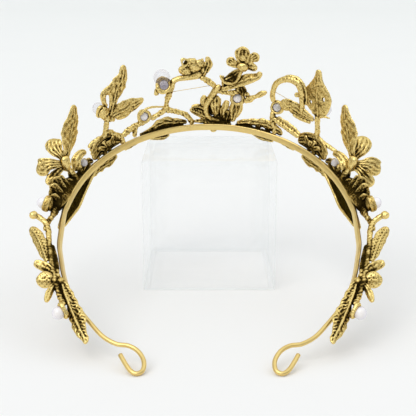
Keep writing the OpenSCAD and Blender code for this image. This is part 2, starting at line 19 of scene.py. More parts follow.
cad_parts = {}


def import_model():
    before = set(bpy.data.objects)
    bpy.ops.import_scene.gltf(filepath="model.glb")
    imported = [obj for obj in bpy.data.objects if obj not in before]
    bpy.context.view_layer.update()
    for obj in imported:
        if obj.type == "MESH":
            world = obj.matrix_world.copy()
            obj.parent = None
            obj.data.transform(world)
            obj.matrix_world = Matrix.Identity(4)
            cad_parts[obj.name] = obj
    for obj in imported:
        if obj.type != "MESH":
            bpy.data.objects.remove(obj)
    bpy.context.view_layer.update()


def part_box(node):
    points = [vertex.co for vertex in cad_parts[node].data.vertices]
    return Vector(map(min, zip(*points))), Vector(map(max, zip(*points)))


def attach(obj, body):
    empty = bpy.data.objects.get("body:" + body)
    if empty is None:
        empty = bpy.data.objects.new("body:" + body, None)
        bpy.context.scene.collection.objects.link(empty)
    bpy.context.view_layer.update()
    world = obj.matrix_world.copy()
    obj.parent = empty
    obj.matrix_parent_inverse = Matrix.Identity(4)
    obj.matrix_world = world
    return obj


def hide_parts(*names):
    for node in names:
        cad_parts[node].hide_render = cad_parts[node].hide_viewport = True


LOG = logging.getLogger("crown")
MM = 0.001

Colour = tuple[float, float, float]
Place = tuple[float, float, float]
Row = tuple[float, float, float, float]
Shape = Callable[[np.ndarray, np.ndarray], np.ndarray]
Stops = tuple[tuple[float, Colour], ...]

# Directions as [along, up, out]: to the oval's inside, to the camera at the arms, and a ring's face.
IN: Place = (0, 0.1, -1)
VIEW: Place = (0.74, 0.67, 0)
RING_FACE: Place = (0, -0.4, 0.92)

# Directions in the crown's frame: to the camera, and up.
EYE = np.array([0.0, -0.72, 0.69])
UP = np.array([0.0, 0.0, 1.0])


# Crown frame


def unit(v: np.ndarray) -> np.ndarray:
    """Returns a vector, or rows of vectors, at length 1."""
    return v / np.maximum(np.linalg.norm(v, axis=-1, keepdims=True), 1e-9)


@dataclass(frozen=True)
class Crown:
    """The crown's own frame and how it leans on the box, in millimetres and degrees."""

    side: float = 67.5
    front: float = 78.0
    lean: float = 27.3
    foot_drop: float = 76.9
    wire_r: float = 0.95
    cube_y: float = 16.8
    crown_back: float = 28.4
    flare: float = 22.0
    strip_h: float = 3.2
    strip_t: float = 1.5
    strip_rise: tuple[tuple[float, float], ...] = (
        (0, 0.9), (45, 1.1), (60, 1.1), (72, 0.9), (90, 0.4), (106, 0.4), (124, 0),
    )
    strip_out: tuple[tuple[float, float], ...] = (
        (0, 0.5), (24, 0.8), (45, 1.3), (60, 1.0), (72, 0.4), (90, -0.4), (104, -0.4), (114, 0),
    )

    def strip(self, a: np.ndarray) -> tuple[np.ndarray, np.ndarray]:
        """Returns how far outwards and above the oval the strip's middle stands, for degrees round."""
        a = np.abs(a)
        return np.interp(a, *np.array(self.strip_out).T), np.interp(a, *np.array(self.strip_rise).T)

    def angle(self, x: np.ndarray, y: np.ndarray) -> np.ndarray:
        """Returns how many degrees round the points stand."""
        return np.degrees(np.arctan2(x / self.side, y / self.front))

    def oval(self, a: float) -> np.ndarray:
        """Returns the band's middle line at a degrees round."""
        r = math.radians(a)
        return np.array([self.side * math.sin(r), self.front * math.cos(r), 0.0])

    def outward(self, a: float) -> np.ndarray:
        """Returns the direction away from the oval at a degrees round."""
        r = math.radians(a)
        return unit(np.array([self.front * math.sin(r), self.side * math.cos(r), 0.0]))

    def along(self, a: float) -> np.ndarray:
        """Returns the direction along the oval at a degrees round."""
        r = math.radians(a)
        return unit(np.array([self.side * math.cos(r), -self.front * math.sin(r), 0.0]))

    def spot(self, p: Place) -> np.ndarray:
        """Returns the point at [round, up, out]."""
        return self.oval(p[0]) + self.outward(p[0]) * p[2] + UP * p[1]

    def heading(self, a: float, d: Place) -> np.ndarray:
        """Returns the direction [along, up, out] at a degrees round."""
        return self.along(a) * d[0] + UP * d[1] + self.outward(a) * d[2]

    def stand(self, p: Place, face: Place, roll: float = 0.0) -> "Stand":
        """Returns a local frame at a place whose z axis faces a direction.

        Args:
            p: Place as [round, up, out].
            face: Direction of the local z axis as [along, up, out].
            roll: Turn about that axis in degrees.

        Returns:
            The local frame.
        """
        z = unit(self.heading(p[0], face))
        run = self.along(p[0])
        x = unit(run - z * float(run @ z))
        y = np.cross(z, x)
        r = math.radians(roll)
        x, y = x * math.cos(r) + y * math.sin(r), y * math.cos(r) - x * math.sin(r)
        return Stand(self.spot(p), x, y, z)

    def to_row(self, mirrored: bool = False) -> Matrix:
        """Returns the matrix from the crown's frame in mm to the row frame in m.

        Args:
            mirrored: True for the twin on the crown's other side.

        Returns:
            The matrix.
        """
        height = self.foot_drop * math.sin(math.radians(self.lean)) + self.wire_r
        flip = Matrix.Diagonal((-1.0 if mirrored else 1.0, 1.0, 1.0, 1.0))
        turn = Matrix.Rotation(math.radians(self.lean), 4, "X")
        move = Matrix.Translation((0.0, self.cube_y - self.crown_back, height))
        return Matrix.Scale(MM, 4) @ move @ turn @ flip


class Stand(NamedTuple):
    """A local frame: its origin and axes."""

    o: np.ndarray
    x: np.ndarray
    y: np.ndarray
    z: np.ndarray

    def at(self, p: np.ndarray) -> np.ndarray:
        """Returns local points, a row each, in the crown's frame."""
        p = np.atleast_2d(p)
        return self.o + p[:, :1] * self.x + p[:, 1:2] * self.y + p[:, 2:3] * self.z


CROWN = Crown()


def smooth_run(rows: np.ndarray, steps: int) -> np.ndarray:
    """Runs a smooth line through rows of numbers.

    Args:
        rows: The rows that it passes through.
        steps: Points made between each two rows.

    Returns:
        The finer rows.
    """
    n = len(rows)
    padded = np.vstack([rows[0], rows, rows[-1]])
    out = []
    for i in range(n - 1):
        a, b, c, d = padded[i : i + 4]
        for k in range(steps):
            t = k / steps
            out.append(
                b
                + (c - a) * (t / 2)
                + (a * 2 - b * 5 + c * 4 - d) * (t * t / 2)
                + (b * 3 - a - c * 3 + d) * (t * t * t / 2)
            )
    out.append(rows[-1])
    return np.array(out)


# Rows of the castings' tables


class Look(Enum):
    """Cast surface of a leaf or petal."""

    PLAIN = 0
    VEINED = 1
    RIBBED = 2
    HAMMERED = 3
    FERN = 4
    PUNCHED = 5
    PETAL = 6


class Hole(NamedTuple):
    """An oval hole through a frond: its place, direction and half sizes."""

    place: Place
    face: Place
    half_w: float
    half_h: float


class Frond(NamedTuple):
    """A leaf, petal or lump along rows of [round, up, out, half width].

    Its rib stands towards back, or towards the camera if it is laid out as seen.
    """

    rows: tuple[Row, ...]
    look: Look = Look.HAMMERED
    back: Place = IN
    thick: float = 1.2
    cup: float = 0.3
    lobes: float = 0.0
    depth: float = 1.0
    seen: bool = False
    holes: tuple[Hole, ...] = ()


class Twig(NamedTuple):
    """A twig: rows of [round, up, out, radius], how knobbly it is, and its flattening."""

    rows: tuple[Row, ...]
    knob: float = 0.16
    flat: float = 1.0


class Ring(NamedTuple):
    """An open ring: its place and direction, sizes, and the share that casting lumps add or take."""

    place: Place
    face: Place
    outer: float
    hole: float
    depth: float = 1.7
    lump: float = 0.04


class Ball(NamedTuple):
    """A slightly lumpy ball: its place, radius and share of it along each axis."""

    place: Place
    radius: float
    squash: Place = (1, 1, 1)


ShadeAndTarnishSpots = tuple[tuple[Place, float, float], ...]
Twigs = tuple[Twig, ...]
Fronds = tuple[Frond, ...]
Rings = tuple[Ring, ...]
Balls = tuple[Ball, ...]


# Meshes


class Maker:
    """Makes closed meshes by shaping a ball primitive by formula, in millimetres."""

    @staticmethod
    def clear_selection() -> None:
        """Deselects everything."""
        bpy.ops.object.select_all(action="DESELECT")

    @staticmethod
    def edit(operator: Callable[..., object], everything: bool = True, **values: object) -> None:
        """Runs a mesh operator on the active object, on all of it or on what is selected."""
        bpy.ops.object.mode_set(mode="EDIT")
        if everything:
            bpy.ops.mesh.select_all(action="SELECT")
        operator(**values)
        bpy.ops.object.mode_set(mode="OBJECT")

    @staticmethod
    def modify(piece: bpy.types.Object, kind: str, **values: object) -> None:
        """Adds a modifier to the active object, sets its values and applies it."""
        modifier = piece.modifiers.new(kind.lower(), kind)
        for key, value in values.items():
            setattr(modifier, key, value)
        bpy.ops.object.modifier_apply(modifier=modifier.name)

    @staticmethod
    def points(mesh: bpy.types.Mesh, what: str = "co") -> np.ndarray:
        """Returns a mesh's points, or their normals, a row each."""
        co = np.empty(len(mesh.vertices) * 3, np.float32)
        mesh.vertices.foreach_get(what, co)
        return co.reshape(-1, 3).astype(float)

    @staticmethod
    def move_points(mesh: bpy.types.Mesh, co: np.ndarray) -> None:
        """Puts a mesh's points in new places."""
        mesh.vertices.foreach_set("co", co.astype(np.float32).ravel())
        mesh.update()

    @staticmethod
    def polar(turn: np.ndarray, radius: np.ndarray, z: np.ndarray) -> np.ndarray:
        """Returns points from their angles, distances from the z axis, and heights."""
        return np.stack([np.cos(turn) * radius, np.sin(turn) * radius, z + 0 * turn], 1)

    @staticmethod
    def along(run: np.ndarray) -> np.ndarray:
        """Returns how far along a line each of its rows of x, y, z stands."""
        steps = np.linalg.norm(np.diff(run[:, :3], axis=0), axis=1)
        return np.concatenate([[0], np.cumsum(steps)])

    @staticmethod
    def sample(at: np.ndarray, far: np.ndarray, run: np.ndarray) -> np.ndarray:
        """Returns x, y, z at distances along a line, a row each."""
        return np.stack([np.interp(at, far, run[:, k]) for k in range(3)], 1)

    @staticmethod
    def round_end(far: np.ndarray) -> np.ndarray:
        """Returns the share of the full radius at a share of the radius from a round end."""
        return np.sqrt(np.clip(1 - np.clip(1 - far, 0, 1) ** 2, 0, 1))

    @staticmethod
    def squarer(v: np.ndarray, power: float | np.ndarray) -> np.ndarray:
        """Returns sines or cosines raised to a power with their sign kept."""
        return np.sign(v) * np.abs(v) ** power

    @staticmethod
    def loft(rings: int, segments: int, shape: Shape) -> bpy.types.Object:
        """Shapes a ball into a closed form.

        Args:
            rings: Steps from the ball's one pole to the other.
            segments: Steps round the ball.
            shape: Gives points for shares of the way between the poles and
                angles round, as arrays.

        Returns:
            The new object.
        """
        bpy.ops.mesh.primitive_uv_sphere_add(segments=segments, ring_count=rings, radius=1)
        piece = bpy.context.object
        co = Maker.points(piece.data)
        t = np.arccos(np.clip(-co[:, 2], -1, 1)) / math.pi
        Maker.move_points(piece.data, shape(t, np.arctan2(co[:, 1], co[:, 0])))
        return piece

    @staticmethod
    def tube(
        rows: np.ndarray,
        flat: np.ndarray,
        knob: float = 0.0,
        squash: float = 1.0,
        sides: int = 14,
        pitch: float = 0.45,
    ) -> bpy.types.Object:
        """Makes a round-ended rod along smoothed rows.

        Args:
            rows: Rows of x, y, z, radius.
            flat: Direction that the rod's thickness is measured in.
            knob: Share of the radius that lumps add or take.
            squash: Thickness as a share of the width.
            sides: Steps round the rod.
            pitch: Step along the rod in millimetres.

        Returns:
            The new object.
        """
        run = smooth_run(rows, 12)
        far = Maker.along(run)
        length = far[-1]
        slope = np.gradient(run[:, :3], far, axis=0)
        rings = int(np.clip(length / pitch, 8, 400))
        phase = float(np.sum(rows[:, :3]))

        def shape(t: np.ndarray, turn: np.ndarray) -> np.ndarray:
            """Returns the rod's points."""
            s = t * length
            mid = Maker.sample(s, far, run)
            r = np.interp(s, far, run[:, 3])
            ahead = unit(Maker.sample(s, far, slope))
            wide = unit(np.cross(ahead, flat))
            thick = np.cross(wide, ahead)
            end = np.minimum(s, length - s) / np.maximum(r, 1e-6)
            r = r * Maker.round_end(end)
            lump = np.sin(s * 2.3 + phase) * np.sin(turn * 2 + s * 1.1 + phase * 2)
            lump = lump + 0.6 * np.sin(s * 4.1 + phase * 3) * np.sin(turn * 3 - s * 1.7)
            r = r * (1 + knob * lump)
            return mid + wide * (np.cos(turn) * r)[:, None] + thick * (np.sin(turn) * r * squash)[:, None]

        return Maker.loft(rings, sides, shape)

    @staticmethod
    def relief(look: Look, t: np.ndarray, s: np.ndarray, length: float, half: float) -> np.ndarray:
        """Returns how far a leaf's face stands up, in millimetres.

        Args:
            look: Kind of surface.
            t: Share of the length.
            s: Share of the half width, from -1 to 1.
            length: Length of the leaf in millimetres.
            half: Its half width in millimetres.

        Returns:
            Heights for each point.
        """
        edge = np.clip(1 - np.abs(s), 0, 1)
        live = np.minimum(1, np.minimum(t, 1 - t) * 9)
        across = np.abs(s) * half
        rib = 0.42 * np.exp(-((across / 0.42) ** 2)) * np.clip(1.25 - t, 0, 1)
        groove = -0.18 * np.exp(-(((across - 0.8) / 0.34) ** 2))
        if look is Look.PLAIN:
            return rib * 0.5
        if look is Look.VEINED:
            phase = (t * length - across * 0.9) / 1.5
            return (rib + groove + 0.13 * np.cos(phase * 2 * math.pi) * np.minimum(1, edge * 3)) * live
        wide = float(np.max(half))
        if look is Look.RIBBED:
            count = float(np.clip(round(wide * 0.95), 2, 7))
            lines = 0.2 * np.cos(s * math.pi * count + 0.5 * np.sin(t * 8)) * np.clip(1.9 - 1.9 * t, 0.2, 1)
            mottle = 0.12 * np.sin(t * length * 1.7 + s * 4) * np.sin(s * wide * 1.9 + t * 3)
            return lines + mottle * np.clip(t * 2, 0, 1) + 0.22 * np.exp(-(((1 - t) / 0.07) ** 2))
        if look is Look.PETAL:
            lines = np.cos(s * math.pi * 4.2) * np.exp(-(((t - 0.7) / 0.12) ** 2)) * 0.2
            notch = -0.2 * np.exp(-(((t - 0.8) / 0.07) ** 2) - (s / 0.5) ** 2)
            rim = 0.34 * np.exp(-(((1 - t) / 0.1) ** 2)) + 0.16 * np.exp(-((edge / 0.16) ** 2)) * live
            return lines + notch + rim + 0.07 * np.sin(t * length * 1.9 + s * 5) * live
        if look is Look.FERN:
            phase = (t * length - across * 1.15 + 0.7 * np.sin(t * length * 0.8 + s * 2.5)) / 2.3
            curl = np.cos(phase * 2 * math.pi) * (0.65 + 0.35 * np.sin(t * length * 1.3 + s * 5))
            nuggets = 0.14 * np.sin(t * length * 3.3) * np.sin(across * 3.1 + t * 6)
            return (rib * 1.25 + groove * 1.6 + (0.27 * curl + nuggets) * np.minimum(1, edge * 4)) * live
        streak = np.sin(s * 7 + 3 * t + np.sin(t * 11)) * np.sin(t * length * 0.9 + s * 4)
        if look is Look.PUNCHED:
            dots = np.sin(t * length * 3.1) * np.sin(s * half * 3.3 + t * 5)
            return (rib * 0.6 + groove * 0.8 - 0.46 * np.clip(dots - 0.25, 0, 1)) * live
        lumps = np.sin(t * length * 1.6 + s * 2.2) * np.sin(s * half * 1.5 - t * 4)
        return (rib + groove + 0.15 * streak + 0.16 * lumps) * live

    @staticmethod
    def frond(rows: np.ndarray, back: np.ndarray, frond: Frond) -> bpy.types.Object:
        """Makes a leaf, petal or lump along smoothed rows.

        Args:
            rows: Rows of x, y, z, half width.
            back: Direction that its rib stands towards.
            frond: Its surface, thickness and cup.

        Returns:
            The new object.
        """
        run = smooth_run(rows, 8)
        run[:, 3] = np.maximum(run[:, 3], 0.3)
        far = Maker.along(run)
        length = float(far[-1])
        widest = float(run[:, 3].max())
        slope = np.gradient(run[:, :3], far, axis=0)
        phase = float(np.sum(rows[:, :3]))

        def shape(t: np.ndarray, turn: np.ndarray) -> np.ndarray:
            """Returns the frond's points."""
            x = t * length
            mid = Maker.sample(x, far, run)
            half = np.interp(x, far, run[:, 3])
            ahead = unit(Maker.sample(x, far, slope))
            side = unit(np.cross(ahead, back))
            face = np.cross(side, ahead)
            top = np.where(np.sin(turn) >= 0, 1.0, -1.0)
            s = Maker.squarer(np.cos(turn), 0.8)
            ends = Maker.round_end(np.minimum(x, length - x) / np.maximum(half * 0.8, 0.4))
            half = half * (1 + frond.lobes * np.sin(x / 0.8 + phase + np.sign(s)))
            body = frond.thick * 0.5 * np.sqrt(np.clip(1 - np.abs(s) ** 3, 0, 1)) * top
            lift = frond.depth * Maker.relief(frond.look, t, s, length, half) * np.where(top > 0, 1, -0.35)
            lift = lift * (np.abs(np.sin(turn)) > 0.02)
            height = (body + lift) * ends - frond.cup * np.abs(s) ** 1.6 * half / widest
            return mid + side * (half * s * ends)[:, None] + face * height[:, None]

        rings = int(np.clip(length / 0.25, 16, 140))
        segments = int(np.clip(widest * 4 / 0.24, 20, 96)) // 2 * 2
        return Maker.loft(rings, segments, shape)

    @staticmethod
    def face_out(piece: bpy.types.Object) -> None:
        """Turns every face of a piece outwards."""
        Maker.clear_selection()
        bpy.context.view_layer.objects.active = piece
        piece.select_set(True)
        Maker.edit(bpy.ops.mesh.normals_make_consistent, inside=False)

    @staticmethod
    def to_row(piece: bpy.types.Object) -> None:
        """Puts a piece from the crown's frame in the row frame, its faces outwards."""
        piece.data.transform(CROWN.to_row())
        Maker.face_out(piece)

    @staticmethod
    def pierce(piece: bpy.types.Object, hole: Hole) -> None:
        """Cuts a hole through a part."""
        stand = CROWN.stand(hole.place, hole.face)

        def shape(t: np.ndarray, turn: np.ndarray) -> np.ndarray:
            """Returns the cutter's points."""
            wide = np.sin(t * math.pi) ** 0.25
            size = np.array([hole.half_w, hole.half_h, 1])
            return stand.at(Maker.polar(turn, wide, (t - 0.5) * 12) * size)

        cutter = Maker.loft(8, 16, shape)
        Maker.face_out(cutter)
        Maker.face_out(piece)
        Maker.modify(piece, "BOOLEAN", operation="DIFFERENCE", solver="EXACT", object=cutter)
        bpy.data.objects.remove(cutter, do_unlink=True)


# Finishes


def fill_ramp(ramp: bpy.types.ColorRamp, stops: Stops) -> None:
    """Sets a colour ramp's stops, rows of position and colour."""
    while len(ramp.elements) < len(stops):
        ramp.elements.new(0.5)
    for element, (position, colour) in zip(ramp.elements, stops):
        element.position = position
        element.color = (*colour, 1)


class Nodes:
    """Builds a material's node tree round the Principled shader."""

    def __init__(self, name: str, **values: object) -> None:
        """Starts a material.

        Args:
            name: The material's name.
            **values: Values of the shader's inputs, with _ for each space.
        """
        self.material = bpy.data.materials.new(name)
        self.material.use_nodes = True
        self.tree = self.material.node_tree
        self.tree.nodes.clear()
        out = self.add("ShaderNodeOutputMaterial")
        self.shader = self.add("ShaderNodeBsdfPrincipled")
        for key, value in values.items():
            self.shader.inputs[key.replace("_", " ")].default_value = value
        self.link(self.shader.outputs[0], out.inputs["Surface"])

    def add(self, kind: str, **values: object) -> bpy.types.Node:
        """Adds a node and sets its properties."""
        node = self.tree.nodes.new(kind)
        for key, value in values.items():
            setattr(node, key, value)
        return node

    def link(self, a: bpy.types.NodeSocket, b: bpy.types.NodeSocket) -> None:
        """Joins two sockets."""
        self.tree.links.new(a, b)

    def drive(self, name: str, a: bpy.types.NodeSocket) -> None:
        """Joins a socket to the shader's named input."""
        self.link(a, self.shader.inputs[name])

    def math(self, operation: str, *values: object, clamp: bool = False) -> bpy.types.NodeSocket:
        """Adds a Math node on sockets or numbers and returns its output."""
        node = self.add("ShaderNodeMath", operation=operation, use_clamp=clamp)
        for slot, value in enumerate(values):
            if isinstance(value, bpy.types.NodeSocket):
                self.link(value, node.inputs[slot])
            else:
                node.inputs[slot].default_value = value
        return node.outputs[0]

    def ramp(self, factor: bpy.types.NodeSocket, stops: Stops) -> bpy.types.NodeSocket:
        """Adds a colour ramp on a socket and returns its colour."""
        node = self.add("ShaderNodeValToRGB")
        fill_ramp(node.color_ramp, stops)
        self.link(factor, node.inputs[0])
        return node.outputs[0]

    def noise(self, size_mm: float, detail: float) -> bpy.types.NodeSocket:
        """Adds noise on Object coordinates whose lumps are about size_mm wide."""
        node = self.add("ShaderNodeTexNoise")
        node.inputs["Scale"].default_value = 1 / (size_mm * MM)
        node.inputs["Detail"].default_value = detail
        self.link(self.add("ShaderNodeTexCoord").outputs["Object"], node.inputs["Vector"])
        return node.outputs["Fac"]

    def stored(self, name: str) -> bpy.types.NodeSocket:
        """Adds the number stored for each point under a name."""
        return self.add("ShaderNodeAttribute", attribute_name=name).outputs["Fac"]

    def facing(self, blend: float) -> bpy.types.NodeSocket:
        """Adds how far the surface turns away from the line of sight."""
        node = self.add("ShaderNodeLayerWeight")
        node.inputs["Blend"].default_value = blend
        return node.outputs["Facing"]

    def bump(self, height: bpy.types.NodeSocket, depth_mm: float, strength: float) -> None:
        """Adds a bump of a depth in millimetres to the shader."""
        node = self.add("ShaderNodeBump")
        node.inputs["Strength"].default_value = strength
        node.inputs["Distance"].default_value = depth_mm * MM
        self.link(height, node.inputs["Height"])
        self.drive("Normal", node.outputs[0])


@dataclass(frozen=True)
class CastGold:
    """Antique gold plate over castings, dark in the recesses: tarnish, with painted shade from ambient
    occlusion in deep recesses and between parts.
    """

    bright: Colour = (0.87, 0.67, 0.26)
    middle: Colour = (0.57, 0.40, 0.125)
    brown: Colour = (0.19, 0.12, 0.028)
    black: Colour = (0.024, 0.015, 0.003)
    edge: tuple[float, float, float, float] = (1.0, 0.84, 0.5, 1.0)
    recess_mm: float = 3.2

    def make(self) -> bpy.types.Material:
        """Returns the material."""
        n = Nodes("cast_gold", Metallic=1.0, Roughness=0.3, Specular_Tint=self.edge)
        # Painted shade, partly tarnish: ambient occlusion darkens deep recesses and the gaps between parts.
        hollow = n.add("ShaderNodeAmbientOcclusion", samples=6)
        hollow.inputs["Distance"].default_value = self.recess_mm * MM
        shade = n.math("MULTIPLY", n.math("SUBTRACT", 1.0, hollow.outputs["AO"]), 0.8)
        darkening = n.math("MULTIPLY_ADD", n.noise(1.3, 4.0), 0.6, -0.3)
        total = n.math("ADD", n.math("ADD", n.stored("patina"), shade), darkening, clamp=True)
        stops = ((0.1, self.bright), (0.38, self.middle), (0.68, self.brown), (0.96, self.black))
        n.drive("Base Color", n.ramp(total, stops))
        n.drive("Roughness", n.math("MULTIPLY_ADD", total, 0.32, 0.22))
        grain = n.math("ADD", n.noise(0.5, 2.0), n.math("MULTIPLY", n.noise(0.18, 1.0), 0.4))
        n.bump(grain, 0.16, 0.7)
        return n.material


@dataclass(frozen=True)
class BandGold:
    """Smooth satin gold plate with fine lengthwise drawing marks, darkened by painted shade stored on the
    band.
    """

    light: Colour = (0.92, 0.70, 0.27)
    deep: Colour = (0.74, 0.53, 0.20)
    dark: Colour = (0.20, 0.12, 0.05)
    stretch: Place = (30.0, 8.0, 1.0)

    def make(self) -> bpy.types.Material:
        """Returns the material."""
        n = Nodes("band_gold", Metallic=1.0, Roughness=0.3)
        mapping = n.add("ShaderNodeMapping")
        mapping.inputs["Scale"].default_value = self.stretch
        n.link(n.add("ShaderNodeTexCoord").outputs["UV"], mapping.inputs["Vector"])
        noise = n.add("ShaderNodeTexNoise")
        noise.inputs["Scale"].default_value = 2.0
        noise.inputs["Detail"].default_value = 4.0
        n.link(mapping.outputs[0], noise.inputs["Vector"])
        marks = noise.outputs["Fac"]
        blotch = n.math("MULTIPLY", n.noise(5.0, 3.0), 0.5)
        mix = n.math("ADD", n.math("MULTIPLY", marks, 0.5), blotch, clamp=True)
        # Painted shade stored on the band darkens the plate here.
        total = n.math("ADD", n.math("SUBTRACT", mix, 0.32), n.stored("patina"), clamp=True)
        n.drive("Base Color", n.ramp(total, ((0.0, self.light), (0.5, self.deep), (1.0, self.dark))))
        n.drive("Roughness", n.math("MULTIPLY_ADD", marks, 0.22, 0.22))
        n.bump(marks, 0.05, 0.5)
        return n.material


@dataclass(frozen=True)
class PearlFinish:
    """Pearl lustre: a pale body with a faint change of hue towards the rim as the surface turns from view, a
    painted sheen and rim shade.
    """

    name: str = "pearl"
    face: Colour = (0.90, 0.86, 0.84)
    rim: Colour = (0.74, 0.76, 0.82)
    roughness: float = 0.16
    transmission: float = 0.0
    between: Colour = (0.88, 0.84, 0.90)

    def make(self) -> bpy.types.Material:
        """Returns the material."""
        coat = {"Coat_Weight": 0.7, "Coat_Roughness": 0.06}
        n = Nodes(self.name, Roughness=self.roughness, Transmission_Weight=self.transmission, **coat)
        mottle = n.math("SUBTRACT", n.math("MULTIPLY", n.noise(1.4, 2.0), 0.3), 0.15)
        # Painted sheen and rim shade: the colour follows the viewing angle.
        factor = n.math("ADD", n.facing(0.35), mottle, clamp=True)
        n.drive("Base Color", n.ramp(factor, ((0.0, self.face), (0.45, self.between), (1.0, self.rim))))
        return n.material


@dataclass(frozen=True)
class BeadGlass:
    """Almost clear glass with a faint sheen of blue and pink, and a paler side."""

    clear: float = 0.12
    rim: float = 0.34
    blue: Colour = (0.60, 0.66, 0.90)
    pink: Colour = (0.80, 0.74, 0.80)
    cream: Colour = (0.92, 0.84, 0.72)

    def make(self) -> bpy.types.Material:
        """Returns the material."""
        n = Nodes("glass_bead", Roughness=0.06, IOR=1.35, Coat_Weight=0.4, Coat_Roughness=0.05)
        tint = n.math("ADD", n.math("MULTIPLY", n.noise(3.0, 1.0), 1.4), -0.2, clamp=True)
        n.drive("Base Color", n.ramp(tint, ((0.0, self.blue), (0.5, self.pink), (1.0, self.cream))))
        n.drive("Alpha", n.math("MULTIPLY_ADD", n.facing(0.4), self.rim, self.clear, clamp=True))
        return n.material


@dataclass(frozen=True)
class Acrylic:
    """Clear acrylic: nearly invisible faces, with edges that catch the light."""

    tint: tuple[float, float, float, float] = (0.95, 0.985, 1.0, 1.0)
    body: float = 0.006
    haze: float = 0.02
    slanted: float = 0.16
    edge: float = 0.2

    def make(self) -> bpy.types.Material:
        """Returns the material."""
        n = Nodes("clear_acrylic", Base_Color=self.tint, Roughness=0.05, IOR=1.49)
        alpha = n.math("MULTIPLY_ADD", n.noise(12.0, 3.0), self.haze, self.body)
        # Painted reflection and painted edge highlights: more of the pale tint where faces slant from view
        # and near edges.
        alpha = n.math("MULTIPLY_ADD", n.facing(0.3), self.slanted, alpha)
        n.drive("Alpha", n.math("MULTIPLY_ADD", n.stored("edge"), self.edge, alpha, clamp=True))
        return n.material


@dataclass(frozen=True)
class StudioPaper:
    """Pale seamless paper with the faintest mottling, painted darker towards the back as a fall-off of light.
    """

    near: Colour = (0.875, 0.866, 0.865)
    middle: Colour = (0.85, 0.852, 0.848)
    distant: Colour = (0.79, 0.80, 0.795)

    def make(self) -> bpy.types.Material:
        """Returns the material."""
        n = Nodes("studio_paper", Roughness=0.85)
        split = n.add("ShaderNodeSeparateXYZ")
        n.link(n.add("ShaderNodeTexCoord").outputs["Object"], split.inputs[0])
        # Painted shade: darker towards the back.
        far = n.math("MULTIPLY", split.outputs["Y"], 0.4, clamp=True)
        tone = n.math("ADD", far, n.math("MULTIPLY", n.noise(90.0, 2.0), 0.12), clamp=True)
        n.drive("Base Color", n.ramp(tone, ((0.0, self.near), (0.4, self.middle), (1.0, self.distant))))
        return n.material


# Castings


